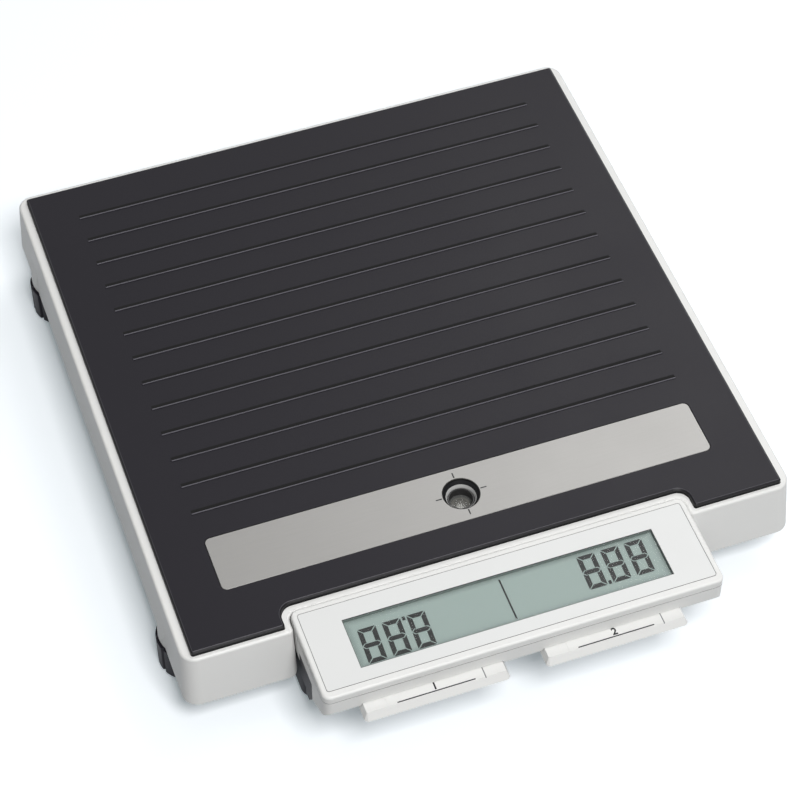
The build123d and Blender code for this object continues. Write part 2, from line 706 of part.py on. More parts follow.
def make_load_cell(x, end, way):
    """A bending beam with a double hole through its middle, screwed down at one end."""
    far = end + way * CELL_LENGTH
    width = (x - CELL_WIDTH / 2, x + CELL_WIDTH / 2)
    beam = block(width, sorted((end, far)), (CELL_BOTTOM, CELL_TOP))
    middle = (end + far) / 2
    height = (CELL_BOTTOM + CELL_TOP) / 2
    for shift in (-7.0, 7.0):
        hole = Pos(x, middle + shift, height) * Rot(0, 90, 0)
        beam -= hole * Cylinder(4.4, CELL_WIDTH)
    beam -= block(width, (middle - 7.0, middle + 7.0), (height - 1.5, height + 1.5))
    for y in cell_screw_rows(end, way):
        beam -= disc(x, y, (CELL_BOTTOM, CELL_TOP), 2.55)
    return beam


def make_cell_screws():
    """Two socket screws from below through the base into each load cell."""
    screws = []
    for _, x, end, way in cell_ends():
        for y in cell_screw_rows(end, way):
            head = disc(x, y, (BASE_BOTTOM + 2.0, BASE_BOTTOM + 7.0), 4.25)
            head -= Pos(x, y, BASE_BOTTOM + 2.0) * extrude(RegularPolygon(2.3, 6), 2.4)
            screws.append(head + disc(x, y, (BASE_BOTTOM + 7.0, CELL_TOP - 2.0), 2.5))
    return screws


def make_cell_leads():
    """A lead from each load cell's fixed end to the console's board."""
    leads = []
    for _, x, end, way in cell_ends():
        side = math.copysign(1.0, x)
        start = end + way * (CELL_LENGTH - 30.0)
        lane = side * (84.0 if way > 0 else 80.0)
        z = RIB_TOP + 3.0
        points = [
            (x - side * CELL_WIDTH / 2, start, z + 9.0),
            (x - side * 14.0, start, z + 9.0),
            (lane + side * 8.0, start - 6.0, z),
            (lane, start - 26.0, z),
            (lane, -118.0, z),
            (lane * 0.86, -130.0, z + 6.0),
            (lane * 0.86, -130.0, BOARD_TOP - BOARD_THICK),
        ]
        path = FilletPolyline(*points, radius=4.0)
        section = Plane(origin=path @ 0, z_dir=path % 0) * RegularPolygon(1.1, 6)
        leads.append(sweep(section, path=path))
    return leads


def make_level_housing():
    """The dark cup of the bullseye level, on a flange on the base's post."""
    cup = disc(0, LEVEL_Y, (LEVEL_POST, LEVEL_TOP), LEVEL_OUTER)
    cup += disc(0, LEVEL_Y, (LEVEL_POST, LEVEL_POST + 3.0), LEVEL_FLANGE)
    return cup - disc(0, LEVEL_Y, (VIAL_BOTTOM, LEVEL_TOP), VIAL_RADIUS)


def make_level_vial():
    """The clear vial: a thick lid with a domed underside over a shallow chamber."""
    vial = disc(0, LEVEL_Y, (VIAL_BOTTOM, VIAL_TOP), VIAL_RADIUS)
    return vial - level_chamber()


def level_chamber():
    """The vial's chamber, domed on top so that the bubble finds the middle."""
    chamber = disc(0, LEVEL_Y, (VIAL_BOTTOM + 1.5, VIAL_TOP - 0.5), VIAL_RADIUS - 1.0)
    return chamber & Pos(0, LEVEL_Y, VIAL_TOP - 1.2 - 30.0) * Sphere(30.0)


def make_level_bubble():
    """The flat round bubble under the top of the chamber."""
    top = VIAL_TOP - 1.3
    bubble = disc(0, LEVEL_Y, (top - 1.9, top), 2.3)
    return chamfer(bubble.edges().filter_by(GeomType.CIRCLE), 0.5)


# Console


def make_console_top():
    """The console's upper shell: recess for the film and an opening for the display."""
    x = (-CONSOLE_HALF, CONSOLE_HALF)
    shell = slab(x, (CONSOLE_FRONT, CONSOLE_REAR), (CONSOLE_PARTING, MAT_TOP), CONSOLE_CORNER)
    top = shell.faces().sort_by(Axis.Z)[-1]
    shell = fillet(top.outer_wire().edges(), 1.3)
    wall = CONSOLE_WALL
    inner = (CONSOLE_FRONT + wall, CONSOLE_REAR - wall)
    roof = MAT_TOP - FILM_THICK - 2.2
    shell -= slab((x[0] + wall, x[1] - wall), inner, (CONSOLE_PARTING, roof), 2.0)
    recess = (MAT_TOP - FILM_THICK, MAT_TOP)
    shell -= slab((-FILM_HALF, FILM_HALF), (FILM_FRONT, FILM_REAR), recess, 1.5)
    return shell - window_block((roof, MAT_TOP), 0.0)


def window_block(z, shrink):
    """The display opening's space, smaller by the given amount on every side."""
    half = WINDOW_HALF - shrink
    return block((-half, half), (WINDOW_FRONT + shrink, WINDOW_REAR - shrink), z)


def make_console_film():
    """The printed film on the console, with the display's window left open."""
    z = (MAT_TOP - FILM_THICK, MAT_TOP)
    half = FILM_HALF - FILM_GAP
    film = slab((-half, half), (FILM_FRONT + FILM_GAP, FILM_REAR - FILM_GAP), z, 1.4)
    return film - window_block(z, 0.0)


def make_display_pane():
    """The clear pane in the film's window."""
    return window_block((MAT_TOP - FILM_THICK, MAT_TOP), 0.0)


def make_display_glass():
    """The liquid-crystal glass under the pane."""
    return window_block((GLASS_BOTTOM, GLASS_TOP), 0.4)


def make_display_holder():
    """The frame on the board that presses the display glass into its opening."""
    z = (BOARD_TOP, GLASS_BOTTOM)
    outer = block((-HOLDER_HALF, HOLDER_HALF), HOLDER_Y, z)
    return outer - block((-HOLDER_OPENING_HALF, HOLDER_OPENING_HALF), HOLDER_OPENING_Y, z)


def make_contact_strips():
    """Two rubber strips that join the display glass to the board."""
    z = (BOARD_TOP, GLASS_BOTTOM)
    return [block((-CONTACT_HALF, CONTACT_HALF), (y - 1.0, y + 1.0), z) for y in CONTACT_Y]


def make_main_board():
    """The circuit board under the display."""
    return block((-BOARD_HALF, BOARD_HALF), BOARD_Y, (BOARD_TOP - BOARD_THICK, BOARD_TOP))


def make_console_base():
    """The console's lower shell: sloping underside, pedal mouths, hinge webs, spring seats."""
    wall = CONSOLE_WALL
    outline = [
        (CONSOLE_REAR, CONSOLE_PARTING), (CONSOLE_REAR, CONSOLE_SEAT),
        (CHEEK_REAR, CONSOLE_SEAT), (CHEEK_REAR, CHEEK_BOTTOM),
        (CONSOLE_FRONT + 1.6, CONSOLE_LIP), (CONSOLE_FRONT, CONSOLE_LIP + 2.0),
        (CONSOLE_FRONT, CONSOLE_PARTING),
    ]
    x = (-CONSOLE_HALF, CONSOLE_HALF)
    shell = side_profile(outline, x)
    for side in SIDES.values():
        shell += console_ear(side)
    y = (CONSOLE_FRONT, CONSOLE_REAR)
    shell &= slab(x, y, (0, CONSOLE_PARTING), CONSOLE_CORNER)
    hollow = [
        (CONSOLE_REAR - wall, CONSOLE_PARTING + 1), (CONSOLE_REAR - wall, CONSOLE_SEAT - 1),
        (CHEEK_REAR - wall, CONSOLE_SEAT - 1), (CHEEK_REAR - wall, CHEEK_BOTTOM + wall + 2.2),
        (CONSOLE_FRONT + wall, CONSOLE_LIP + wall), (CONSOLE_FRONT + wall, CONSOLE_PARTING + 1),
    ]
    shell -= side_profile(hollow, (wall - CONSOLE_HALF, CONSOLE_HALF - wall))
    inset = CONSOLE_GROOVE
    groove_z = (CONSOLE_PARTING - CONSOLE_GROOVE, CONSOLE_PARTING)
    groove = slab(x, y, groove_z, CONSOLE_CORNER)
    groove -= slab(
        (x[0] + inset, x[1] - inset), (y[0] + inset, y[1] - inset), groove_z,
        CONSOLE_CORNER - inset,
    )
    shell -= groove
    for pedal_x in PEDALS.values():
        shell = pedal_mount(shell, pedal_x)
    for screw_x, screw_y in CONSOLE_SCREWS:
        shell += disc(screw_x, screw_y, (CONSOLE_SEAT, CONSOLE_PARTING), 4.0)
        web = sorted((screw_x, math.copysign(CONSOLE_HALF - 1.0, screw_x)))
        shell += block(web, (screw_y - 1.0, screw_y + 1.0), (CONSOLE_SEAT, CONSOLE_PARTING - 1.0))
        shell -= disc(screw_x, screw_y, (CONSOLE_SEAT, CONSOLE_PARTING - 1.0), 1.6)
    return shell


def pedal_mount(shell, x):
    """Cuts a pedal's mouth into the lower shell and adds its hinge webs and spring seat."""
    for side in SIDES.values():
        near = x + side * (PEDAL_LEVER_HALF + WEB_GAP)
        web = sorted((near, near + side * WEB_THICK))
        front = CONSOLE_FRONT + CONSOLE_WALL + 2.0
        shell += block(web, (front, CHEEK_REAR - 1.0), (CONSOLE_LIP - 2.0, WEB_TOP))
        shell += block(web, (CHEEK_REAR - 2.0, PIN_Y + 3.5), (CONSOLE_SEAT + 0.05, WEB_TOP))
        shell += block(web, (front + 6.0, CHEEK_REAR - 1.0), (CONSOLE_LIP - 5.6, CONSOLE_LIP))
    mouth_y = (CONSOLE_FRONT - 2.0, PEDAL_RISER_REAR + 1.0)
    low = Pos(x, 0, MOUTH_BOTTOM) * pedal_plan(PEDAL_HALF_BOTTOM + PEDAL_GAP + 0.6, mouth_y, 0.1)
    high = Pos(x, 0, PEDAL_TOP + PEDAL_GAP) * pedal_plan(PEDAL_HALF_TOP + PEDAL_GAP, mouth_y, 0.1)
    shell -= loft([low, high])
    shell += disc(x, SPRING_Y, (34.0, SPRING_SEAT), 4.0)
    shell += disc(x, SPRING_Y, (SPRING_SEAT, SPRING_SEAT + 2.0), 1.6)
    pin = Pos(x, PIN_Y, PIN_Z) * Rot(0, 90, 0) * Cylinder(PIN_RADIUS, pin_length())
    return shell - pin


def pin_length():
    """The length of a pedal's hinge pin, ending inside its webs."""
    return 2 * (PEDAL_LEVER_HALF + WEB_GAP + WEB_THICK - 0.4)


def make_pedal(x):
    """A foot pedal: a bevelled lip in front, a riser, a lever, a hinge barrel and a short tail."""
    rear = PEDAL_RISER_REAR
    foot = (PEDAL_FRONT, rear)
    low = Pos(x, 0, PEDAL_BOTTOM) * pedal_plan(PEDAL_HALF_BOTTOM, foot, PEDAL_CORNER)
    head = (PEDAL_FRONT + PEDAL_BEVEL, rear)
    high = Pos(x, 0, PEDAL_TOP) * pedal_plan(PEDAL_HALF_TOP, head, 0.3)
    lip = loft([low, high])
    for side in (-1, 1):
        mark = x + side * PEDAL_MARK
        groove = (PEDAL_FRONT, CONSOLE_FRONT + 0.5)
        lip -= block((mark - 0.2, mark + 0.2), groove, (PEDAL_TOP - 0.3, PEDAL_TOP + 1.0))
    half = PEDAL_LEVER_HALF
    riser_y = (CONSOLE_FRONT + CONSOLE_WALL + 0.5, rear)
    riser = block((x - half, x + half), riser_y, (PEDAL_BOTTOM + 1.0, LEVER_TOP))
    lever = block((x - half, x + half), (riser_y[0], PIN_Y), (LEVER_UNDER, LEVER_TOP))
    tail = block((x - half, x + half), (PIN_Y, TAIL_REAR), (TAIL_TOP - 1.6, TAIL_TOP))
    axis = Pos(x, PIN_Y, PIN_Z) * Rot(0, 90, 0)
    pedal = lip + riser + lever + tail + axis * Cylinder(BARREL_RADIUS, 2 * half)
    return pedal - axis * Cylinder(PIN_RADIUS + RUNNING, 2 * half)


def pedal_plan(half, y, corner):
    """The lip's outline in plan, with its two front corners cut off."""
    front, rear = y
    points = [
        (-half, rear), (-half, front + corner), (corner - half, front),
        (half - corner, front), (half, front + corner), (half, rear),
    ]
    return make_face(Polyline(*points, close=True))


def make_pedal_pins():
    """The steel hinge pins of the two pedals."""
    return [
        Pos(x, PIN_Y, PIN_Z) * Rot(0, 90, 0) * Cylinder(PIN_RADIUS, pin_length())
        for x in PEDALS.values()
    ]


def make_pedal_spring(x):
    """The coil spring that lifts a pedal."""
    height = LEVER_UNDER - SPRING_SEAT - 2 * SPRING_WIRE - 0.1
    path = Helix(height / SPRING_TURNS, height, SPRING_RADIUS)
    section = Plane(origin=path @ 0, z_dir=path % 0) * RegularPolygon(SPRING_WIRE, 4)
    coil = sweep(section, path=path, is_frenet=True)
    return Pos(x, SPRING_Y, SPRING_SEAT + SPRING_WIRE + 0.05) * coil


def make_pedal_switches():
    """A small switch on the board's underside over each pedal's tail."""
    half = SWITCH_HALF
    y = (SWITCH_Y - half, SWITCH_Y + half)
    z = (SWITCH_BOTTOM, BOARD_TOP - BOARD_THICK)
    return [block((x - half, x + half), y, z) for x in PEDALS.values()]


def make_switch_cap(x):
    """The soft cap of a pedal's switch, resting on the tail."""
    return disc(x, SWITCH_Y, (TAIL_TOP, SWITCH_BOTTOM), 1.75)


def make_console_screws():
    """Long screws from below that hold the console on its bracket."""
    top = SCREW_HEAD_TOP
    return [
        disc(x, y, (top - 2.2, top), 2.9) + disc(x, y, (top, CONSOLE_PARTING - 2.0), 1.5)
        for x, y in CONSOLE_SCREWS
    ]


def all_nodes():
    """Every node's name and its solid or list of separate solids."""
    nodes = {
        "top_cover": make_top_cover(),
        "tread_mat": make_tread_mat(),
        "trim_strip": make_trim_strip(),
        "platform_plate": make_platform_plate(),
        "load_pads": make_load_pads(),
        "plate_screws": make_plate_screws(),
        "base_frame": make_base_frame(),
        "console_bracket": make_console_bracket(),
        "bracket_screws": make_bracket_screws(),
        "foot_bushes": make_foot_bushes(),
        "load_cell_screws": make_cell_screws(),
        "load_cell_leads": make_cell_leads(),
        "level_housing": make_level_housing(),
        "level_vial": make_level_vial(),
        "level_fluid": level_chamber() - make_level_bubble(),
        "level_bubble": make_level_bubble(),
        "console_top": make_console_top(),
        "console_base": make_console_base(),
        "console_film": make_console_film(),
        "console_screws": make_console_screws(),
        "display_pane": make_display_pane(),
        "display_glass": make_display_glass(),
        "display_holder": make_display_holder(),
        "contact_strips": make_contact_strips(),
        "main_board": make_main_board(),
        "pedal_switches": make_pedal_switches(),
        "pedal_pins": make_pedal_pins(),
        "batteries": make_batteries(),
        "battery_contacts": make_battery_contacts(),
        "battery_door": make_battery_door(),
    }
    for name, x in PEDALS.items():
        nodes[f"pedal_{name}"] = make_pedal(x)
        nodes[f"pedal_spring_{name}"] = make_pedal_spring(x)
        nodes[f"switch_cap_{name}"] = make_switch_cap(x)
    for name, x, end, way in cell_ends():
        nodes[f"load_cell_{name}"] = make_load_cell(x, end, way)
    for name, (x, y) in FEET.items():
        nodes[f"foot_wheel_{name}"] = make_foot_wheel(x, y, GROOVE_ANGLES[name])
        nodes[f"foot_spindle_{name}"] = make_foot_spindle(x, y)
        nodes[f"foot_pad_{name}"] = make_foot_pad(x, y)
    return nodes


os.makedirs("parts", exist_ok=True)
for node, shape in all_nodes().items():
    solids = shape if isinstance(shape, list) else [shape]
    export_step(Compound(children=solids), f"parts/{node}.step")
    print(node, len(solids))
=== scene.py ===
"""Finishes, display, printed marks, springs, level and studio for the platform scale."""

import json
import math

import bmesh
import bpy
from mathutils import Matrix, Vector


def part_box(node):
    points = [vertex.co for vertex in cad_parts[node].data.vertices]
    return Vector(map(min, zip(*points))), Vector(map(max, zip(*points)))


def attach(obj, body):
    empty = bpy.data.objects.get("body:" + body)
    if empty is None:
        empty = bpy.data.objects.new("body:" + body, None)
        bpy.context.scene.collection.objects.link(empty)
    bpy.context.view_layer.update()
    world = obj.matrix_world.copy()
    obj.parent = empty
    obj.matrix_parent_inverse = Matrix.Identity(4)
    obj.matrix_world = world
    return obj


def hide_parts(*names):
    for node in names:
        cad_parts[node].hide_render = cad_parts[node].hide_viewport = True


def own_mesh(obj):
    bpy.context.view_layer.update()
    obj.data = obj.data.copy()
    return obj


bl_info = {
    "name": "Platform Scale Looks",
    "version": (1, 0, 0),
    "blender": (4, 5, 0),
    "location": "View3D > Sidebar > Scale",
    "description": "Finishes, display, marks, springs, level and studio for the platform scale",
    "category": "Object",
}

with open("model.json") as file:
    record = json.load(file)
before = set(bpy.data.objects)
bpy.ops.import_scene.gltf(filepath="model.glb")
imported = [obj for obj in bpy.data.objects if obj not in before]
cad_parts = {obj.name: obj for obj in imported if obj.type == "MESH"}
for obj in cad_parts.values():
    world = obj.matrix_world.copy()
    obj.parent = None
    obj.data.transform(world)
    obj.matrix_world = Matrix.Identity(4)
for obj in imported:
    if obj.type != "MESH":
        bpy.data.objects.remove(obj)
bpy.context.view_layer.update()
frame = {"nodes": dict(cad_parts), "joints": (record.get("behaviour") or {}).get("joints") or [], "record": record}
MM = 0.001
SIDES = ("left", "right")

# Forms of the frame that finishes follow
RIBS = 13
RIB_HEIGHT = 0.6 * MM
FILM_CORNER = 1.4 * MM
COLLAR_RADIUS = 8.8 * MM
STRIP_HOLE_EDGE = 9.38 * MM
PEDAL_CUT_HALF = 0.22 * MM
PEDAL_CUT_DEPTH = 0.4 * MM

# Thickness of printed ink, and of the film below and in the display's bars
INK = 0.03 * MM
DISPLAY_FILM = 0.06 * MM

# The level's ring, the gap over its fluid, and its bubble's rise into the lid and share of height
RING_INK = 0.02 * MM
AIR_GAP = 0.05 * MM
BUBBLE_RISE = 0.1 * MM
BUBBLE_FLATNESS = 0.28

# The studio in metres: half the floor, where its far part begins and ends, and the lights' aim
FLOOR_HALF = 6.0
FAR_FLOOR = (0.5, 2.0)
LIGHTS_AIM = (0, 0, 0.03)

# Height of a figure as a share of its type size, and the angle past which an edge stays sharp
FIGURE_SHARE = 0.7
SHARP = math.radians(35)


def srgb(red, green, blue):
    """A screen colour, each part from 0 to 255, as the linear colour that shaders take."""
    linear = []
    for part in (red, green, blue):
        share = part / 255
        linear.append(share / 12.92 if share <= 0.04045 else ((share + 0.055) / 1.055) ** 2.4)
    return tuple(linear)


def length(name, millimetres, description):
    """A length property, given here in millimetres."""
    return bpy.props.FloatProperty(
        name=name, description=description, default=millimetres * MM, unit="LENGTH", precision=5
    )


def place(name, where, description):
    """A property for a place, given here in metres."""
    return bpy.props.FloatVectorProperty(
        name=name, description=description, size=3, subtype="TRANSLATION", default=where
    )


def colour(name, screen, description):
    """A colour property, given here as a screen colour."""
    return bpy.props.FloatVectorProperty(
        name=name, description=description, subtype="COLOR", size=3, min=0, max=1,
        default=srgb(*screen),
    )


# Settings


class ScaleDisplaySettings(bpy.types.PropertyGroup):
    """Sizes of the liquid-crystal digits."""

    digit_width: length("Digit width", 9.1, "Width of a digit over its outer edges")
    digit_height: length("Digit height", 19.5, "Height of a digit over its outer edges")
    stroke: length("Stroke", 2.35, "Width of a digit's bars")
    gap: length("Gap", 0.36, "Gap between neighbouring bars")
    pitch: length("Pitch", 12.2, "Distance from one digit to the next")
    reach: length("Reach", 72.7, "From the print's middle to the last digit's outer edge")
    lift: length("Lift", 2.05, "How far the digits sit above the print's middle line")
    shift: length("Shift", -0.9, "How far the glass's print sits to the right of the middle")
    drop: length("Drop", 0.45, "How far the glass's print sits in front of the middle")
    point_width: length("Point width", 1.5, "Width of the decimal point")
    point_height: length("Point height", 2.1, "Height of the decimal point")
    divider: length("Divider", 23.4, "Length of the line in the display's middle")
    divider_width: length("Divider width", 0.85, "Width of the line in the display's middle")
    divider_shift: length("Divider shift", 0.4, "How far that line sits to the right of the print")
    slant: bpy.props.FloatProperty(
        name="Slant", description="Sideways lean of the digits, as a share of height", default=0.03
    )


class ScaleMarkSettings(bpy.types.PropertyGroup):
    """Sizes of the printed marks, and of the painted shade in the film's edge line and the pedals' cuts."""

    tick_start: length("Tick start", 9.9, "From the level's middle to the near end of a tick")
    tick_length: length("Tick length", 3.2, "Length of a tick round the level")
    tick_width: length("Tick width", 0.6, "Width of a tick round the level")
    line_length: length("Line length", 38.6, "Length of the line on a pedal")
    line_width: length("Line width", 0.6, "Width of the line on a pedal")
    line_back: length("Line back", 3.2, "From the pedal's front edge to the line on it")
    figure_height: length("Figure height", 3.8, "Height of the figure on a pedal")
    figure_lift: length("Figure lift", 0.9, "From the line on a pedal to the figure above it")
    figure_weight: length("Figure weight", 0.14, "Ink added round the strokes of the figure")
    # The line round the film's edge and the cut in each pedal's lip carry painted shade
    film_edge_shade: length("Film line", 0.13, "Width of the line printed round the film's edge")
    cut_offset: length("Cut offset", 24.2, "From a pedal's middle to the shaded cut in its lip")


class ScaleSpringSettings(bpy.types.PropertyGroup):
    """Sizes of the pedals' coil springs and soft caps."""

    wire: length("Wire", 0.7, "Thickness of the spring wire")
    turns: bpy.props.IntProperty(name="Turns", description="Turns of a spring", default=4, min=1)
    cap_edge: length("Cap edge", 0.25, "Rounding of the lower edge of the cap over a pedal's tail")


class ScaleLevelSettings(bpy.types.PropertyGroup):
    """Sizes of the bullseye level."""

    lid: length("Lid", 1.2, "Thickness of the clear lid")
    lid_hollow: length("Lid hollow", 0.45, "Depth of the hollow under the lid")
    lid_edge: length("Lid edge", 0.3, "Slope of the lid's upper edge")
    wall: length("Wall", 0.9, "Wall of the vial round the fluid")
    floor: length("Floor", 1.5, "Floor of the vial under the fluid")
    ring_radius: length("Ring radius", 2.9, "Radius of the printed aiming ring")
    ring_width: length("Ring width", 0.14, "Width of the printed aiming ring's line")
    bubble_radius: length("Bubble radius", 1.9, "Radius of the bubble")
    bubble_x: length("Bubble X", -0.9, "How far the bubble sits to the right of the middle")
    bubble_y: length("Bubble Y", -0.8, "How far the bubble sits behind the middle")


class ScaleColours(bpy.types.PropertyGroup):
    """Main colours, as they show under plain light."""

    cover: colour("Cover", (231, 231, 229), "White moulded plastic")
    film: colour("Film", (226, 227, 226), "Printed film of the console")
    tread: colour("Tread", (24, 22, 29), "Anthracite mat")
    # Painted highlight on the mat's upper edge and on its ribs' fronts
    tread_highlight: colour("Tread highlight", (74, 73, 78), "Worn upper edge of the mat and its ribs")
    # Painted shade on the mat's side wall
    tread_side_shade: colour("Tread side", (12, 12, 15), "Side wall of the mat")
    base: colour("Base", (22, 19, 28), "Anthracite mouldings")
    display: colour("Display", (156, 173, 168), "Liquid-crystal glass without a reading")
    segment: colour("Segment", (20, 22, 23), "Bars of the digits")
    # Painted shade, laid in the gaps, grooves, cuts and window walls of the mouldings
    seam: colour("Seam", (84, 84, 86), "Shade in the thin gaps between mouldings")
    print_ink: colour("Ink", (34, 35, 38), "Printed marks")
    aluminium: colour("Aluminium", (142, 141, 139), "Satin trim strip")
    fluid: colour("Fluid", (80, 77, 70), "Fluid of the level")


class ScaleStageSettings(bpy.types.PropertyGroup):
    """Camera, lights, room and floor."""

    camera_place: place("Camera", (-0.27859, -0.77534, 1.05988), "Place of the camera")
    azimuth: bpy.props.FloatProperty(
        name="Azimuth", description="Turn of the view from straight ahead to the right",
        default=math.radians(19.682), subtype="ANGLE",
    )
    elevation: bpy.props.FloatProperty(
        name="Elevation", description="Height of the view above the horizon",
        default=math.radians(51.380), subtype="ANGLE",
    )
    roll: bpy.props.FloatProperty(
        name="Roll", description="Turn about the view's own axis",
        default=math.radians(0.0787), subtype="ANGLE",
    )
    lens: bpy.props.FloatProperty(
        name="Lens", description="Focal length on a 36 mm sensor", default=115.84, unit="CAMERA"
    )
    key_place: place("Key place", (0.0, -1.1, 1.8), "Place of the soft light over the front")
    key_size: length("Key size", 700, "Side of the soft light over the front")
    key_power: bpy.props.FloatProperty(
        name="Key light", description="Power of the soft light over the front", default=31.0
    )
    rear_place: place("Rear place", (0.8, 0.9, 1.5), "Place of the soft light over the right rear")
    rear_size: length("Rear size", 800, "Side of the soft light over the right rear")
    rear_power: bpy.props.FloatProperty(
        name="Rear light", description="Power of the soft light over the right rear", default=7.5
    )
    world_level: bpy.props.FloatProperty(
        name="Surroundings", description="Brightness of the pale room", default=0.22
    )
    world_tilt: bpy.props.FloatVectorProperty(
        name="Bright side", description="Share by which the room is brighter along X, Y and Z",
        size=3, default=(0.9, -0.4, 0.0),
    )
    floor: colour("Floor", (140, 141, 143), "The floor as it passes light on to the scale")
    floor_seen: colour("Floor seen", (250, 252, 255), "The floor as the eye sees it")
    floor_lift: bpy.props.FloatProperty(
        name="Floor lift", description="Light that the floor adds for the eye alone", default=0.24
    )
    far_lift: bpy.props.FloatProperty(
        name="Far lift", description="The same, added far away from the scale", default=1.3
    )
    lift_tint: bpy.props.FloatVectorProperty(
        name="Lift tint", description="Tint of that light", subtype="COLOR", size=3, min=0, max=1,
        default=(0.82, 0.95, 1.0),
    )


SETTINGS = {
    "scale_display": ScaleDisplaySettings,
    "scale_marks": ScaleMarkSettings,
    "scale_springs": ScaleSpringSettings,
    "scale_level": ScaleLevelSettings,
    "scale_colours": ScaleColours,
    "scale_stage": ScaleStageSettings,
}


# Shader expressions


class Field:
    """A value that changes over a surface. Python's operators on it add Math nodes."""

    def __init__(self, nodes, socket):
        self.nodes = nodes
        self.socket = socket

    def math(self, operation, *others):
        """Any operation of the Math node, with this value first."""
        values = dict(enumerate((self, *others)))
        return self.nodes.node("Math", {"operation": operation}, values)

    def reflected(self, operation, other):
        """The same with this value second."""
        return self.nodes.node("Math", {"operation": operation}, {0: other, 1: self})

    def __add__(self, other):
        return self.math("ADD", other)

    def __radd__(self, other):
        return self.reflected("ADD", other)

    def __sub__(self, other):
        return self.math("SUBTRACT", other)

    def __rsub__(self, other):
        return self.reflected("SUBTRACT", other)

    def __mul__(self, other):
        return self.math("MULTIPLY", other)

    def __rmul__(self, other):
        return self.reflected("MULTIPLY", other)

    def __truediv__(self, other):
        return self.math("DIVIDE", other)

    def __rtruediv__(self, other):
        return self.reflected("DIVIDE", other)

    def ramp(self, low, high, start=0.0, end=1.0):
        """The value taken from low..high to start..end, and held beyond both."""
        sockets = {"Value": self, "From Min": low, "From Max": high, "To Min": start, "To Max": end}
        return self.nodes.node("MapRange", {"interpolation_type": "SMOOTHSTEP"}, sockets)

    def past(self, limit, blend=0.05 * MM):
        """1 where the value is past a limit and a short blend beyond it, and 0 below the limit."""
        return self.ramp(limit, limit + blend)


class Nodes:
    """A node tree under construction."""

    def __init__(self, tree):
        self.tree = tree

    def join(self, value, socket):
        """Links a field to a socket, or sets a plain value on it."""
        if isinstance(value, Field):
            self.tree.links.new(value.socket, socket)
        else:
            socket.default_value = value

    def node(self, kind, settings=None, values=None, output=0):
        """Adds a shader node: its settings first, then the values or links of its sockets."""
        made = self.tree.nodes.new("ShaderNode" + kind)
        for name, value in (settings or {}).items():
            setattr(made, name, value)
        for key, value in (values or {}).items():
            self.join(value, made.inputs[key])
        return Field(self, made.outputs[output])

    def seen_directly(self):
        """1 for what the eye, a mirror or a pane shows, and 0 for light that is passed on."""
        rays = [
            self.node("LightPath", output=f"Is {kind} Ray")
            for kind in ("Camera", "Glossy", "Transmission")
        ]
        return sum(rays[1:], rays[0])


class Finish(Nodes):
    """A material under construction, with short ways to add nodes to it."""

    def __init__(self, name, **sockets):
        self.material = bpy.data.materials.new(name)
        self.material.use_nodes = True
        super().__init__(self.material.node_tree)
        self.shader = self.tree.nodes["Principled BSDF"]
        for socket, value in sockets.items():
            self.set(socket.replace("_", " ").title().replace("Ior", "IOR"), value)

    def set(self, socket, value):
        """Gives a socket of the shader a number, a colour or a field."""
        if isinstance(value, tuple) and len(value) == 3:
            value = (*value, 1.0)
        self.join(value, self.shader.inputs[socket])

    def place(self, scale=(1.0, 1.0, 1.0)):
        """Object coordinates, stretched along each axis."""
        coordinates = self.node("TexCoord", output="Object")
        return self.node("Mapping", None, {"Vector": coordinates, "Scale": scale})

    def axis(self, name):
        """One object coordinate in metres."""
        coordinates = self.node("TexCoord", output="Object")
        return self.node("SeparateXYZ", None, {"Vector": coordinates}, name)

    def inset(self, low, high, corner=0.0):
        """How far a point lies inside a rectangle with rounded corners, and below 0 outside it."""
        beyond = []
        for name, start, end in zip("XY", low, high):
            away = (self.axis(name) - (start + end) / 2).math("ABSOLUTE")
            beyond.append(away - ((end - start) / 2 - corner))
        across, along = beyond
        bend = [side.math("MAXIMUM", 0.0).math("POWER", 2.0) for side in beyond]
        outer = (bend[0] + bend[1]).math("SQRT")
        return corner - outer - across.math("MAXIMUM", along).math("MINIMUM", 0.0)

    def from_level(self):
        """How far a point is from the level's upright axis."""
        low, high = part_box("level_vial")
        across = self.axis("X") - (low.x + high.x) / 2
        along = self.axis("Y") - (low.y + high.y) / 2
        return (across * across + along * along).math("SQRT")

    def noise(self, size, detail=2.0, stretch=(1.0, 1.0, 1.0)):
        """Noise from 0 to 1 whose grains have about that size in metres."""
        values = {"Vector": self.place(stretch), "Scale": 1 / size, "Detail": detail}
        return self.node("TexNoise", None, values)

    def cells(self, size):
        """Rounded cells of about that size in metres, 0 in their middles."""
        return self.node("TexVoronoi", None, {"Vector": self.place(), "Scale": 1 / size})

    def mix(self, share, first, second):
        """A colour between two others."""
        values = {0: share, 6: self.opaque(first), 7: self.opaque(second)}
        return self.node("Mix", {"data_type": "RGBA"}, values, 2)

    @staticmethod
    def opaque(value):
        """A plain colour with its alpha added."""
        return value if isinstance(value, Field) else (*value[:3], 1.0)

    def paint(self, share, paint):
        """Lays a colour over the present base colour by a share of it."""
        below = Field(self, self.shader.inputs["Base Color"].links[0].from_socket)
        self.set("Base Color", self.mix(share, below, paint))

    def bump(self, height, depth, strength=1.0):
        """Raises the surface by the height's share of a depth in metres."""
        values = {"Height": height, "Distance": depth, "Strength": strength}
        self.set("Normal", self.node("Bump", None, values))


def shade(screen, factor):
    """A colour made lighter or darker by a factor."""
    return tuple(min(part * factor, 1.0) for part in screen)


# Finishes, one function for each kind of surface


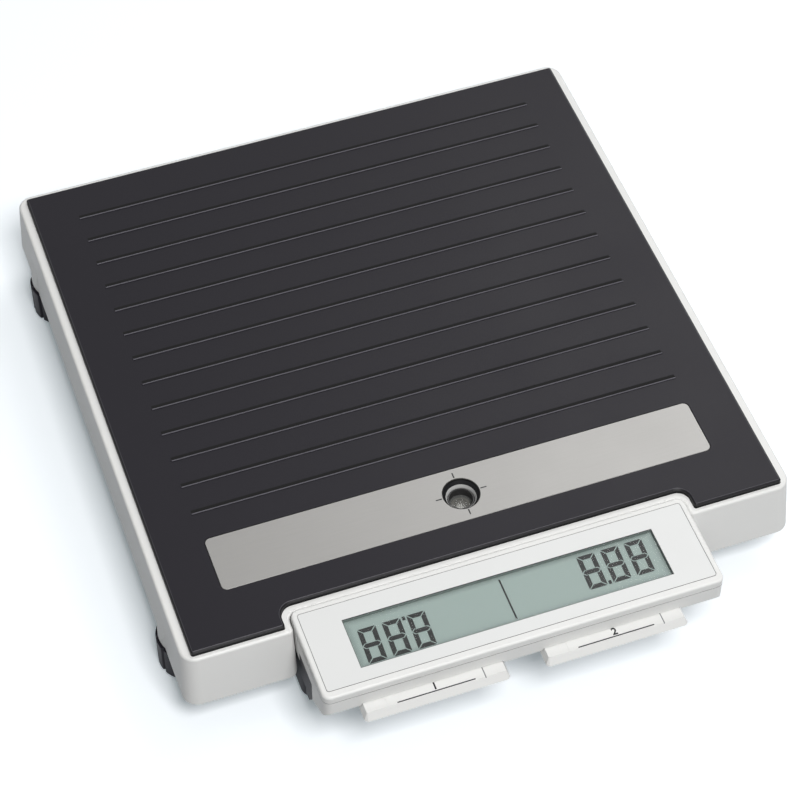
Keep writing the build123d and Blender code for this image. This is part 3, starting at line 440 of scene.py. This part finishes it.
def moulded_plastic(name, base, roughness=0.42, grain=0.35 * MM, depth=0.012 * MM, gloss=0.5):
    """Plastic from a mould: a fine spark-eroded grain and faint flow clouds."""
    finish = Finish(name, specular_ior_level=gloss)
    clouds = finish.noise(45 * MM, 3.0)
    grains = finish.noise(grain, 1.0)
    finish.set("Base Color", finish.mix(clouds, shade(base, 0.975), shade(base, 1.02)))
    finish.set("Roughness", roughness + 0.10 * (finish.noise(6 * MM) - 0.5) + 0.06 * grains)
    finish.bump(grains, depth, 0.6)
    return finish


def cover_finish(name, colours):
    """The white cover's satin plastic."""
    return moulded_plastic(name, colours.cover, 0.40)


def top_cover_finish(name, colours):
    """The top cover, with painted shade on its collar round the level."""
    finish = cover_finish(name, colours)
    # Painted shade on the collar round the level
    collar = 1.0 - finish.from_level().past(COLLAR_RADIUS, 0.1 * MM)
    finish.paint(collar, shade(colours.cover, 0.66))
    return finish


def console_top_finish(name, colours):
    """The console's upper shell, with painted shade on the wall of its window."""
    finish = cover_finish(name, colours)
    # Painted shade on the wall of the display's window
    wall = finish.inset(*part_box("display_pane")).past(-0.6 * MM, 0.1 * MM)
    finish.paint(wall, shade(colours.display, 0.6))
    return finish


def console_base_finish(name, colours):
    """The console's lower shell, with painted shade in the groove under its upper edge."""
    finish = cover_finish(name, colours)
    # Painted shade in the groove under the upper edge
    groove = finish.axis("Z").past(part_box("console_base")[1].z - 0.43 * MM)
    finish.paint(groove, colours.seam)
    return finish


def pedal_finish(name, colours, side):
    """A pedal's plastic, with painted shade in the right-hand cut across its lip."""
    finish = cover_finish(name, colours)
    low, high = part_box(f"pedal_{side}")
    middle = (low.x + high.x) / 2 + bpy.context.scene.scale_marks.cut_offset
    # Painted shade in the right-hand cut across the lip
    cut = 1.0 - (finish.axis("X") - middle).math("ABSOLUTE").past(PEDAL_CUT_HALF, 0.08 * MM)
    deep = finish.axis("Z").past(lip_top(side) - PEDAL_CUT_DEPTH - 0.05 * MM)
    finish.paint(cut * deep, shade(colours.seam, 2.6))
    return finish


def base_finish(name, colours):
    """Anthracite plastic of the base."""
    return moulded_plastic(name, colours.base, 0.50, 0.5 * MM, 0.03 * MM, 0.2)


def film_finish(name, colours):
    """The satin printed film, with painted shade in a thin line round its edge and on the wall round its window.
    """
    finish = moulded_plastic(name, colours.film, 0.33, 0.2 * MM, 0.004 * MM, 0.35)
    # Painted shade in a thin line round the film's edge
    edge = finish.inset(*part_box("console_film"), FILM_CORNER)
    finish.paint(1.0 - edge.past(bpy.context.scene.scale_marks.film_edge_shade), colours.seam)
    # Painted shade on the wall round the display's window
    window = finish.inset(*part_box("display_pane"))
    finish.paint(window.past(-0.2 * MM), shade(colours.seam, 0.5))
    return finish


def tread_rows():
    """The first and the last rib's place along Y, and half the length of the mat's ribs."""
    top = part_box("tread_mat")[1].z - 0.05 * MM
    crests = [v.co for v in frame["nodes"]["tread_mat"].data.vertices if v.co.z > top]
    front = min(crest.y for crest in crests)
    first = [crest.y for crest in crests if crest.y < front + 5 * MM]
    half = (max(first) - front) / 2
    return front + half, max(crest.y for crest in crests) - half, max(crest.x for crest in crests)


def tread_finish(name, colours):
    """The mat: pebbled anthracite, with a painted highlight on its ribs' fronts and upper edge, painted shade down
    its side, and painted shadow over its ribs' crests and behind them.
    """
    finish = Finish(name, specular_ior_level=0.2)
    clouds = finish.noise(60 * MM, 4.0)
    pebbles = finish.cells(0.7 * MM)
    base = finish.mix(clouds, shade(colours.tread, 0.94), shade(colours.tread, 1.06))
    finish.set("Base Color", base)

    # Down the side: a painted highlight on the bevel, painted shade under it, and darker painted shade on the wall
    height = finish.axis("Z") - (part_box("tread_mat")[1].z - RIB_HEIGHT)
    finish.paint(1.0 - height.past(-0.30 * MM, 0.08 * MM), shade(colours.tread, 0.45))
    finish.paint(1.0 - height.past(-0.85 * MM, 0.15 * MM), colours.tread_side_shade)
    bevel = height.past(-0.26 * MM, 0.08 * MM) - height.past(-0.05 * MM, 0.03 * MM)
    finish.paint(bevel, colours.tread_highlight)

    # Across each rib: a painted highlight on its front, and painted shadow on its crest and on the strip behind it
    first, last, reach = tread_rows()
    pitch = (last - first) / (RIBS - 1)
    behind = pitch * (((finish.axis("Y") - first) / pitch + 0.5).math("FRACT") - 0.5)
    ribbed = finish.inset((-reach, first - 1 * MM), (reach, last + 3 * MM)).past(0.0, 0.3 * MM)
    rear = behind.past(-0.38 * MM, 0.2 * MM)
    shadow = ribbed * (rear - behind.past(1.7 * MM, 0.7 * MM))
    finish.paint(shadow, shade(colours.tread, 0.03))
    front = (1.0 - rear) * height.past(0.10 * MM, 0.12 * MM)
    finish.paint(front, shade(colours.tread_highlight, 2.1))

    finish.set("Roughness", 0.38 + 0.12 * (clouds - 0.5) + 0.06 * pebbles + 0.25 * shadow)
    finish.bump(pebbles, 0.02 * MM, 0.5)
    return finish


def strip_finish(name, colours):
    """Satin aluminium, brushed along its length, with a dark edge round the level's hole."""
    finish = Finish(name, metallic=1.0)
    strokes = finish.noise(0.25 * MM, 3.0, (0.02, 1.0, 1.0))
    clouds = finish.noise(30 * MM, 2.0)
    base = colours.aluminium
    finish.set("Base Color", finish.mix(strokes, shade(base, 0.90), shade(base, 1.05)))
    finish.paint(1.0 - finish.from_level().past(STRIP_HOLE_EDGE, 0.12 * MM), shade(base, 0.12))
    finish.set("Roughness", 0.36 + 0.12 * strokes + 0.05 * clouds)
    finish.bump(strokes, 0.006 * MM, 0.5)
    return finish


def metal(name, base, roughness, stroke=0.3 * MM, stretch=(1.0, 1.0, 1.0)):
    """Bare metal with fine tool strokes and handled patches."""
    finish = Finish(name, metallic=1.0)
    strokes = finish.noise(stroke, 2.0, stretch)
    clouds = finish.noise(12 * MM, 3.0)
    finish.set("Base Color", finish.mix(clouds, shade(base, 0.88), shade(base, 1.04)))
    finish.set("Roughness", roughness + 0.14 * (clouds - 0.5) + 0.08 * strokes)
    finish.bump(strokes, 0.008 * MM, 0.5)
    return finish


def rubber(name, base, grain=0.6 * MM):
    """Matte rubber with a fine skin."""
    finish = Finish(name)
    skin = finish.cells(grain)
    clouds = finish.noise(15 * MM, 3.0)
    finish.set("Base Color", finish.mix(clouds, shade(base, 0.85), shade(base, 1.15)))
    finish.set("Roughness", 0.68 + 0.12 * skin)
    finish.bump(skin, 0.02 * MM, 0.6)
    return finish


def display_finish(name, colours):
    """The reflective back of the liquid-crystal glass, with painted shade darkening it towards its rims."""
    finish = Finish(name, specular_ior_level=0.3)
    sparkle = finish.noise(0.12 * MM, 1.0)
    base = finish.mix(sparkle, shade(colours.display, 0.96), shade(colours.display, 1.04))
    # Painted shade from the window's walls, darker towards the glass's rims
    rim_shade = 1.0 - finish.inset(*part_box("display_glass")).past(0.0, 3.5 * MM)
    finish.set("Base Color", finish.mix(rim_shade, base, shade(colours.display, 0.72)))
    finish.set("Roughness", 0.30 + 0.10 * sparkle)
    return finish


def clear_finish(name, base, alpha, roughness=0.06):
    """A clear sheet that lets most light through."""
    finish = Finish(name, roughness=roughness, specular_ior_level=0.3)
    finish.set("Base Color", finish.mix(finish.noise(20 * MM), shade(base, 0.97), base))
    finish.set("Alpha", alpha)
    return finish


def glassy_finish(name, base, roughness=0.05):
    """Clear acrylic or fluid that bends light."""
    finish = Finish(name, transmission_weight=1.0, ior=1.45)
    finish.set("Base Color", finish.mix(finish.noise(3 * MM), shade(base, 0.97), base))
    finish.set("Roughness", roughness + 0.03 * finish.noise(1.0 * MM))
    return finish


def board_finish(name):
    """The circuit board's solder mask over copper traces."""
    finish = Finish(name, coat_weight=0.4)
    traces = finish.node("TexBrick", None, {
        "Vector": finish.place(), "Scale": 1 / (6 * MM), "Mortar Size": 0.06,
    }, "Fac")
    green = srgb(24, 92, 52)
    finish.set("Base Color", finish.mix(traces, green, shade(green, 1.5)))
    finish.set("Roughness", 0.32 + 0.08 * finish.noise(2 * MM))
    return finish


def layered_rubber_finish(name):
    """Contact rubber with its many thin dark layers along X."""
    finish = Finish(name)
    layers = finish.node("TexWave", {"bands_direction": "X"}, {
        "Vector": finish.place(), "Scale": 1 / (2.5 * MM),
    }, "Fac")
    finish.set("Base Color", finish.mix(layers, srgb(60, 60, 64), srgb(150, 150, 152)))
    finish.set("Roughness", 0.6 + 0.1 * finish.noise(1 * MM))
    return finish


def spangled_finish(name):
    """Zinc-coated sheet steel with its spangle."""
    finish = Finish(name, metallic=1.0)
    spangle = finish.cells(9 * MM)
    base = srgb(150, 153, 156)
    finish.set("Base Color", finish.mix(spangle, shade(base, 0.8), shade(base, 1.15)))
    finish.set("Roughness", 0.36 + 0.2 * spangle)
    return finish


def slot_finishes(colours):
    """The finish of every material slot, by the slot's name."""
    plain = srgb(38, 38, 40)
    makers = {
        "cover_plastic": lambda n: cover_finish(n, colours),
        "tread_rubber": lambda n: tread_finish(n, colours),
        "strip_aluminium": lambda n: strip_finish(n, colours),
        "plate_steel": spangled_finish,
        "screw_steel": lambda n: metal(n, srgb(176, 177, 180), 0.34),
        "base_plastic": lambda n: base_finish(n, colours),
        "bush_brass": lambda n: metal(n, srgb(196, 160, 92), 0.3),
        "cell_aluminium": lambda n: metal(n, srgb(196, 197, 199), 0.32, 0.4 * MM, (1.0, 0.05, 1.0)),
        "lead_sleeve": lambda n: rubber(n, plain, 0.4 * MM),
        "level_plastic": lambda n: moulded_plastic(n, srgb(44, 43, 44), 0.38),
        "level_acrylic": lambda n: clear_finish(n, srgb(200, 202, 198), 0.10),
        "level_fluid": lambda n: glassy_finish(n, srgb(206, 210, 200), 0.12),
        # The bubble is a real air bubble, and its pale colour is partly a painted highlight
        "bubble": lambda n: clear_finish(n, srgb(236, 236, 230), 0.35, 0.1),
        "film": lambda n: film_finish(n, colours),
        "pane": lambda n: clear_finish(n, srgb(150, 155, 153), 0.04),
        "display_glass": lambda n: display_finish(n, colours),
        "holder_plastic": lambda n: moulded_plastic(n, srgb(214, 214, 210), 0.45),
        "contact_rubber": layered_rubber_finish,
        "board": board_finish,
        "switch_plastic": lambda n: moulded_plastic(n, plain, 0.4),
        "cap_rubber": lambda n: rubber(n, srgb(140, 140, 142), 0.3 * MM),
        "spring_steel": lambda n: metal(n, srgb(190, 191, 194), 0.22, 0.1 * MM),
        "battery_sleeve": lambda n: moulded_plastic(n, srgb(66, 70, 76), 0.28),
        "contact_steel": lambda n: metal(n, srgb(205, 203, 198), 0.25, 0.2 * MM, (1.0, 1.0, 0.05)),
        "wheel_plastic": lambda n: base_finish(n, colours),
        "pad_rubber": lambda n: rubber(n, srgb(58, 58, 62)),
    }
    return {slot: make(slot).material for slot, make in makers.items()}


def node_finishes(colours):
    """The finishes of the nodes whose surfaces have shades of their own, by the node's name."""
    return {
        "top_cover": top_cover_finish("top_cover_plastic", colours).material,
        "console_top": console_top_finish("console_top_plastic", colours).material,
        "console_base": console_base_finish("console_base_plastic", colours).material,
        **{
            f"pedal_{side}": pedal_finish(f"pedal_{side}_plastic", colours, side).material
            for side in SIDES
        },
    }


def named_finish(name, make):
    """A finish by name, made the first time that it is asked for."""
    return bpy.data.materials.get(name) or make(name).material


def ink_finish(name):
    """Printed ink: matte, with a slightly uneven edge of pigment."""
    ink = bpy.context.scene.scale_colours.print_ink
    finish = Finish(name, specular_ior_level=0.2)
    grain = finish.noise(0.15 * MM)
    finish.set("Base Color", finish.mix(grain, shade(ink, 0.85), shade(ink, 1.15)))
    finish.set("Roughness", 0.5 + 0.1 * grain)
    return finish


def segment_finish(name):
    """The dark state of the liquid crystal."""
    dark = bpy.context.scene.scale_colours.segment
    finish = Finish(name, specular_ior_level=0.25)
    grain = finish.noise(0.12 * MM)
    finish.set("Base Color", finish.mix(grain, shade(dark, 0.92), shade(dark, 1.08)))
    finish.set("Roughness", 0.34 + 0.08 * grain)
    return finish


# Mesh helpers


def add_plate(bm, outline, bottom, thickness):
    """Adds a flat piece to a bmesh from its outline of (x, y) points."""
    face = bm.faces.new([bm.verts.new((x, y, bottom)) for x, y in outline])
    grown = bmesh.ops.extrude_face_region(bm, geom=[face])
    raised = [item for item in grown["geom"] if isinstance(item, bmesh.types.BMVert)]
    bmesh.ops.translate(bm, verts=raised, vec=(0, 0, thickness))


def rectangle(x, y, width, depth):
    """The outline of a rectangle about a middle."""
    left, right = x - width / 2, x + width / 2
    front, rear = y - depth / 2, y + depth / 2
    return [(left, front), (right, front), (right, rear), (left, rear)]


def make_piece(name, bm, material, body):
    """Turns a bmesh into a piece of the object that rides on a body."""
    bmesh.ops.recalc_face_normals(bm, faces=bm.faces)
    mesh = bpy.data.meshes.new(name)
    bm.to_mesh(mesh)
    bm.free()
    piece = bpy.data.objects.new(name, mesh)
    bpy.context.scene.collection.objects.link(piece)
    mesh.materials.append(material)
    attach(piece, body)
    return piece


def stand_in(name, bm, node, finish=None):
    """Turns a bmesh into the smooth piece that takes a node's place."""
    finish = finish or frame["nodes"][node].data.materials[0]
    piece = make_piece(name, bm, finish, "base")
    piece.data.shade_smooth()
    piece.data.set_sharp_from_angle(angle=SHARP)
    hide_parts(node)
    return piece


def turned(profile, middle, steps=48):
    """A bmesh turned about an upright axis from a profile of (radius, z)."""
    bm = bmesh.new()
    verts = [bm.verts.new((middle.x + r, middle.y, z)) for r, z in profile]
    edges = [bm.edges.new(pair) for pair in zip(verts, verts[1:])]
    bmesh.ops.spin(
        bm, geom=verts + edges, cent=(middle.x, middle.y, 0), axis=(0, 0, 1),
        angle=math.tau, steps=steps, use_merge=True, use_duplicate=False,
    )
    bmesh.ops.remove_doubles(bm, verts=bm.verts, dist=1e-7)
    return bm


def lip_top(side):
    """The height of a pedal's lip in front of the console."""
    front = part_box("console_base")[0].y - 1 * MM
    vertices = frame["nodes"][f"pedal_{side}"].data.vertices
    return max(vertex.co.z for vertex in vertices if vertex.co.y < front)


# Operators


class SCALE_OT_finishes(bpy.types.Operator):
    """Gives every piece of the frame the finish of its material slot"""

    bl_idname = "scale.finishes"
    bl_label = "Finishes"

    def execute(self, context):
        colours = context.scene.scale_colours
        finishes = {**slot_finishes(colours), **node_finishes(colours)}
        for part in frame["record"]["subparts"]:
            node = frame["nodes"][part["node"]]
            node.data.materials.clear()
            node.data.materials.append(finishes.get(part["node"], finishes[part["material_slot"]]))
        return {"FINISHED"}


def digit_bars(sizes):
    """The outlines of a digit's seven bars, from its lower left corner."""
    width, height, stroke, gap = sizes.digit_width, sizes.digit_height, sizes.stroke, sizes.gap
    middle, half = height / 2, stroke / 2
    top = [
        (gap, height), (width - gap, height),
        (width - stroke - gap, height - stroke), (stroke + gap, height - stroke),
    ]
    upper_left = [
        (0, height - gap), (0, middle + gap), (half, middle + half + gap),
        (stroke, middle + half + gap), (stroke, height - stroke - gap),
    ]
    centre = [
        (gap, middle), (half + gap, middle + half), (width - half - gap, middle + half),
        (width - gap, middle), (width - half - gap, middle - half), (half + gap, middle - half),
    ]
    upper_right = [(width - x, y) for x, y in upper_left]
    lower = [[(x, height - y) for x, y in bar] for bar in (top, upper_left, upper_right)]
    return [top, upper_left, upper_right, centre, *lower]


class SCALE_OT_display(bpy.types.Operator):
    """Makes the two readings of the display, each readable from its own side, and the divider"""

    bl_idname = "scale.display"
    bl_label = "Display"

    def execute(self, context):
        sizes = context.scene.scale_display
        low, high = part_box("display_glass")
        middle = (low + high).xy / 2
        x, y = middle.x + sizes.shift, middle.y - sizes.drop
        divider = rectangle(x + sizes.divider_shift, middle.y, sizes.divider_width, sizes.divider)
        prints = {
            "reading_near": [[(x + a, y + b) for a, b in bar] for bar in self.reading(sizes)],
            "reading_far": [[(x - a, y - b) for a, b in bar] for bar in self.reading(sizes)],
            "reading_divider": [divider],
        }
        finish = named_finish("segments", segment_finish)
        for name, outlines in prints.items():
            bm = bmesh.new()
            for outline in outlines:
                add_plate(bm, outline, high.z + DISPLAY_FILM, DISPLAY_FILM)
            make_piece(name, bm, finish, "base")
        return {"FINISHED"}

    @staticmethod
    def reading(sizes):
        """The outlines of three digits and a point, about the middle of the print."""
        half = sizes.digit_height / 2
        base = sizes.lift - half
        ends = [sizes.reach - number * sizes.pitch for number in (2, 1, 0)]
        outlines = [
            [(end - sizes.digit_width + x + sizes.slant * (y - half), base + y) for x, y in bar]
            for end in ends for bar in digit_bars(sizes)
        ]
        point = ends[0] + (sizes.pitch - sizes.digit_width) / 2 - sizes.slant * half
        outlines.append(
            rectangle(point, base + sizes.point_height / 2, sizes.point_width, sizes.point_height)
        )
        return outlines


class SCALE_OT_ticks(bpy.types.Operator):
    """Prints the four ticks round the level on the trim strip"""

    bl_idname = "scale.ticks"
    bl_label = "Level ticks"

    def execute(self, context):
        sizes = context.scene.scale_marks
        low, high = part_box("level_housing")
        middle = (low + high).xy / 2
        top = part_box("trim_strip")[1].z
        bm = bmesh.new()
        away = sizes.tick_start + sizes.tick_length / 2
        outline = rectangle(away, 0, sizes.tick_length, sizes.tick_width)
        for quarter in range(4):
            turn = Matrix.Rotation(quarter * math.pi / 2, 2)
            add_plate(bm, [turn @ Vector(point) + middle for point in outline], top, INK)
        make_piece("level_ticks", bm, named_finish("ink", ink_finish), "platform")
        return {"FINISHED"}


class SCALE_OT_pedal_marks(bpy.types.Operator):
    """Prints a line and a plain figure on each pedal"""

    bl_idname = "scale.pedal_marks"
    bl_label = "Pedal marks"

    def execute(self, context):
        sizes = context.scene.scale_marks
        finish = named_finish("ink", ink_finish)
        for figure, side in zip("12", SIDES):
            pedal = f"pedal_{side}"
            low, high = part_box(pedal)
            x, y, top = (low.x + high.x) / 2, low.y + sizes.line_back, lip_top(side)
            bm = bmesh.new()
            add_plate(bm, rectangle(x, y, sizes.line_length, sizes.line_width), top, INK)
            make_piece(f"pedal_line_{side}", bm, finish, pedal)
            where = (x, y + sizes.figure_lift, top)
            self.figure(f"pedal_figure_{side}", figure, where, sizes, finish, pedal)
        return {"FINISHED"}

    @staticmethod
    def figure(name, text, where, sizes, finish, body):
        """A printed figure as a thin mesh."""
        curve = bpy.data.curves.new(name, "FONT")
        curve.body = text
        curve.align_x = "CENTER"
        curve.size = sizes.figure_height / FIGURE_SHARE
        curve.extrude = INK
        curve.offset = sizes.figure_weight
        drawn = bpy.data.objects.new(name + "_outline", curve)
        bpy.context.scene.collection.objects.link(drawn)
        bpy.context.view_layer.update()
        mesh = bpy.data.meshes.new_from_object(drawn)
        bpy.data.objects.remove(drawn)
        mesh.transform(Matrix.Translation(where))
        mesh.materials.clear()
        mesh.materials.append(finish)
        piece = bpy.data.objects.new(name, mesh)
        bpy.context.scene.collection.objects.link(piece)
        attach(piece, body)


class SCALE_OT_pedal_springs(bpy.types.Operator):
    """Makes the coil spring under each pedal and the soft cap over its tail"""

    bl_idname = "scale.pedal_springs"
    bl_label = "Pedal springs"

    def execute(self, context):
        sizes = context.scene.scale_springs
        for side in SIDES:
            spring, cap = f"pedal_spring_{side}", f"switch_cap_{side}"
            self.soften(spring, self.coil(spring, sizes), "spring_steel", side, 0)
            self.soften(cap, self.cap(cap, sizes.cap_edge), "cap_rubber", side, 1)
        return {"FINISHED"}

    @staticmethod
    def coil(node, sizes):
        """A round wire wound about an upright axis inside a node's box."""
        low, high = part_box(node)
        middle = (low + high) / 2
        radius = sizes.wire / 2
        steps = 24 * sizes.turns
        rise = Vector((0, 0, (high.z - low.z - sizes.wire) / steps))
        start = Matrix.Translation((high.x - radius, middle.y, low.z + radius))
        upright = Matrix.Rotation(math.pi / 2, 4, "X")
        bm = bmesh.new()
        bmesh.ops.create_circle(bm, segments=10, radius=radius, matrix=start @ upright)
        bmesh.ops.spin(
            bm, geom=bm.verts[:] + bm.edges[:], cent=middle, axis=(0, 0, 1), dvec=rise,
            angle=sizes.turns * math.tau, steps=steps, use_duplicate=False,
        )
        ends = [edge for edge in bm.edges if edge.is_boundary]
        bmesh.ops.holes_fill(bm, edges=ends, sides=0)
        return bm

    @staticmethod
    def cap(node, edge):
        """A soft round cap with a rounded lower edge inside a node's box."""
        low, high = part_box(node)
        radius = (high.x - low.x) / 2
        profile = [
            (0, low.z), (radius - edge, low.z), (radius - 0.3 * edge, low.z + 0.3 * edge),
            (radius, low.z + edge), (radius, high.z), (0, high.z),
        ]
        return turned(profile, (low + high) / 2, 32)

    @staticmethod
    def soften(node, bm, slot, side, fixed_end):
        """Puts a bmesh in a node's place as a mesh of its own; how far the pedal's tilt would press it is worked
        out but not applied.
        """
        piece = stand_in(f"{node}_soft", bm, node)
        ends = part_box(node)
        low, high = ends
        joint = next(j for j in frame["joints"] if j["name"] == f"pedal_{side}_tilt")
        pivot = joint["pos_m"][1]
        reach = max(abs(low.y - pivot), abs(high.y - pivot))
        travel = reach * math.tan(math.radians(max(joint["range_deg"])))
        keep = max(1 - travel / (high.z - low.z), 0.1)
        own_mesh(piece)


class SCALE_OT_level(bpy.types.Operator):
    """Makes the bullseye level's lens, fluid, printed ring and bubble"""

    bl_idname = "scale.level"
    bl_label = "Bullseye level"

    def execute(self, context):
        sizes = context.scene.scale_level
        low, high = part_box("level_vial")
        middle = (low + high) / 2
        radius = (high.x - low.x) / 2
        lid_bottom = high.z - sizes.lid
        self.lens(middle, radius, lid_bottom, high.z, sizes)
        self.fluid(middle, radius - sizes.wall, low.z + sizes.floor, lid_bottom - AIR_GAP)
        self.ring(middle, high.z, sizes)
        self.bubble(middle, lid_bottom, sizes)
        return {"FINISHED"}

    @staticmethod
    def lens(middle, radius, bottom, top, sizes):
        """The clear lid, with a sloping upper edge and a hollow underside."""
        hollow, edge, side = sizes.lid_hollow, sizes.lid_edge, radius - 0.02 * MM
        profile = [
            (0, bottom + hollow), (radius * 0.5, bottom + hollow * 0.75), (radius * 0.86, bottom),
            (side, bottom), (side, top - edge), (radius - edge, top), (0, top),
        ]
        stand_in("level_lens", turned(profile, middle), "level_vial")

    def fluid(self, middle, radius, bottom, top):
        """The fluid in the chamber."""
        profile = [(0, bottom), (radius, bottom), (radius, top), (0, top)]
        finish = named_finish("level_fluid_body", self.fluid_finish)
        stand_in("level_pool", turned(profile, middle), "level_fluid", finish)

    @staticmethod
    def fluid_finish(name):
        """Cloudy fluid over the cup's floor."""
        base = bpy.context.scene.scale_colours.fluid
        finish = Finish(name, specular_ior_level=0.3)
        clouds = finish.noise(2.0 * MM, 3.0)
        finish.set("Base Color", finish.mix(clouds, shade(base, 0.75), shade(base, 1.1)))
        finish.set("Roughness", 0.16 + 0.1 * clouds)
        return finish

    @staticmethod
    def ring(middle, bottom, sizes):
        """The printed aiming ring on the lid."""
        top = bottom + RING_INK
        inner = sizes.ring_radius - sizes.ring_width / 2
        outer = inner + sizes.ring_width
        profile = [(inner, bottom), (outer, bottom), (outer, top), (inner, top), (inner, bottom)]
        make_piece("level_ring", turned(profile, middle), named_finish("ink", ink_finish), "base")

    @staticmethod
    def bubble(middle, lid_bottom, sizes):
        """The bubble, a flattened ball against the lid."""
        where = (middle.x + sizes.bubble_x, middle.y + sizes.bubble_y, lid_bottom + BUBBLE_RISE)
        bm = bmesh.new()
        bmesh.ops.create_uvsphere(bm, u_segments=32, v_segments=16, radius=sizes.bubble_radius)
        bmesh.ops.scale(bm, vec=(1, 1, BUBBLE_FLATNESS), verts=bm.verts)
        bmesh.ops.translate(bm, vec=where, verts=bm.verts)
        stand_in("level_air", bm, "level_bubble")


class SCALE_OT_stage(bpy.types.Operator):
    """Sets up the floor, the lights, the pale room and the camera"""

    bl_idname = "scale.stage"
    bl_label = "Studio"

    def execute(self, context):
        settings = context.scene.scale_stage
        context.scene.view_settings.view_transform = "Standard"
        self.floor(settings)
        self.room(context.scene, settings)
        self.light("key", settings.key_place, settings.key_size, settings.key_power)
        self.light("rear", settings.rear_place, settings.rear_size, settings.rear_power)
        self.camera(context.scene, settings)
        return {"FINISHED"}

    def floor(self, settings):
        """A wide floor that takes the shadow, reads as white and is see-through from below."""
        bm = bmesh.new()
        bmesh.ops.create_grid(bm, x_segments=1, y_segments=1, size=FLOOR_HALF)
        mesh = bpy.data.meshes.new("floor")
        bm.to_mesh(mesh)
        bm.free()
        floor = bpy.data.objects.new("floor", mesh)
        bpy.context.scene.collection.objects.link(floor)
        finish = Finish("floor", roughness=0.9, specular_ior_level=0.0)
        seen = finish.seen_directly()
        finish.set("Base Color", finish.mix(seen, settings.floor, settings.floor_seen))
        where = finish.node("TexCoord", output="Object")
        away = finish.node("VectorMath", {"operation": "LENGTH"}, {0: where}, "Value")
        lift = seen * (settings.floor_lift + settings.far_lift * away.ramp(*FAR_FLOOR))
        light = {0: tuple(settings.lift_tint), "Scale": lift}
        finish.set("Emission Color", finish.node("VectorMath", {"operation": "SCALE"}, light))
        finish.set("Emission Strength", 1.0)
        finish.set("Alpha", 1.0 - finish.node("NewGeometry", output="Backfacing"))
        mesh.materials.append(finish.material)

    @staticmethod
    def room(scene, settings):
        """Pale surroundings, brighter on one side, that read as white where they are seen."""
        world = bpy.data.worlds.new("room")
        world.use_nodes = True
        scene.world = world
        nodes = Nodes(world.node_tree)
        background = world.node_tree.nodes["Background"]
        background.inputs["Color"].default_value = (1.0, 1.0, 1.0, 1.0)
        direction = nodes.node("TexCoord", output="Generated")
        tilt = nodes.node("VectorMath", {"operation": "DOT_PRODUCT"}, {
            0: direction, 1: tuple(settings.world_tilt),
        }, "Value")
        level = settings.world_level * (1.0 + tilt)
        nodes.join(nodes.seen_directly() * (1.0 - level) + level, background.inputs["Strength"])

    @staticmethod
    def light(name, where, size, power):
        """A square soft light aimed at the platform's middle."""
        lamp = bpy.data.lights.new(name, "AREA")
        lamp.size = size
        lamp.energy = power
        holder = bpy.data.objects.new(name, lamp)
        bpy.context.scene.collection.objects.link(holder)
        holder.location = where
        aim = Vector(LIGHTS_AIM) - holder.location
        holder.rotation_euler = aim.to_track_quat("-Z", "Y").to_euler()

    @staticmethod
    def camera(scene, settings):
        """The camera at the photograph's view."""
        data = bpy.data.cameras.new("camera")
        data.sensor_width = 36.0
        data.lens = settings.lens
        data.clip_start, data.clip_end = 0.05, 20.0
        camera = bpy.data.objects.new("camera", data)
        scene.collection.objects.link(camera)
        turn, climb = settings.azimuth, settings.elevation
        back = Vector((
            -math.sin(turn) * math.cos(climb), -math.cos(turn) * math.cos(climb), math.sin(climb)
        ))
        right = Vector((math.cos(turn), -math.sin(turn), 0))
        up = back.cross(right)
        axes = Matrix((right, up, back)).transposed()
        camera.matrix_world = (
            Matrix.Translation(settings.camera_place)
            @ axes.to_4x4()
            @ Matrix.Rotation(settings.roll, 4, "Z")
        )
        scene.camera = camera


OPERATORS = (
    SCALE_OT_finishes,
    SCALE_OT_display,
    SCALE_OT_ticks,
    SCALE_OT_pedal_marks,
    SCALE_OT_pedal_springs,
    SCALE_OT_level,
    SCALE_OT_stage,
)


class SCALE_PT_looks(bpy.types.Panel):
    """Lists the steps and settings of the scale's looks"""

    bl_idname = "SCALE_PT_looks"
    bl_label = "Platform Scale"
    bl_space_type = "VIEW_3D"
    bl_region_type = "UI"
    bl_category = "Scale"

    def draw(self, context):
        for operator in OPERATORS:
            self.layout.operator(operator.bl_idname)
        for name, group in SETTINGS.items():
            box = self.layout.box()
            for prop in group.__annotations__:
                box.prop(getattr(context.scene, name), prop)


CLASSES = (*SETTINGS.values(), *OPERATORS, SCALE_PT_looks)


def register():
    for item in CLASSES:
        bpy.utils.register_class(item)
    for name, group in SETTINGS.items():
        setattr(bpy.types.Scene, name, bpy.props.PointerProperty(type=group))


def unregister():
    for name in SETTINGS:
        delattr(bpy.types.Scene, name)
    for item in reversed(CLASSES):
        bpy.utils.unregister_class(item)


def main():
    register()
    bpy.ops.scale.finishes()
    bpy.ops.scale.display()
    bpy.ops.scale.ticks()
    bpy.ops.scale.pedal_marks()
    bpy.ops.scale.pedal_springs()
    bpy.ops.scale.level()
    bpy.ops.scale.stage()


if __name__ == "__main__":
    main()
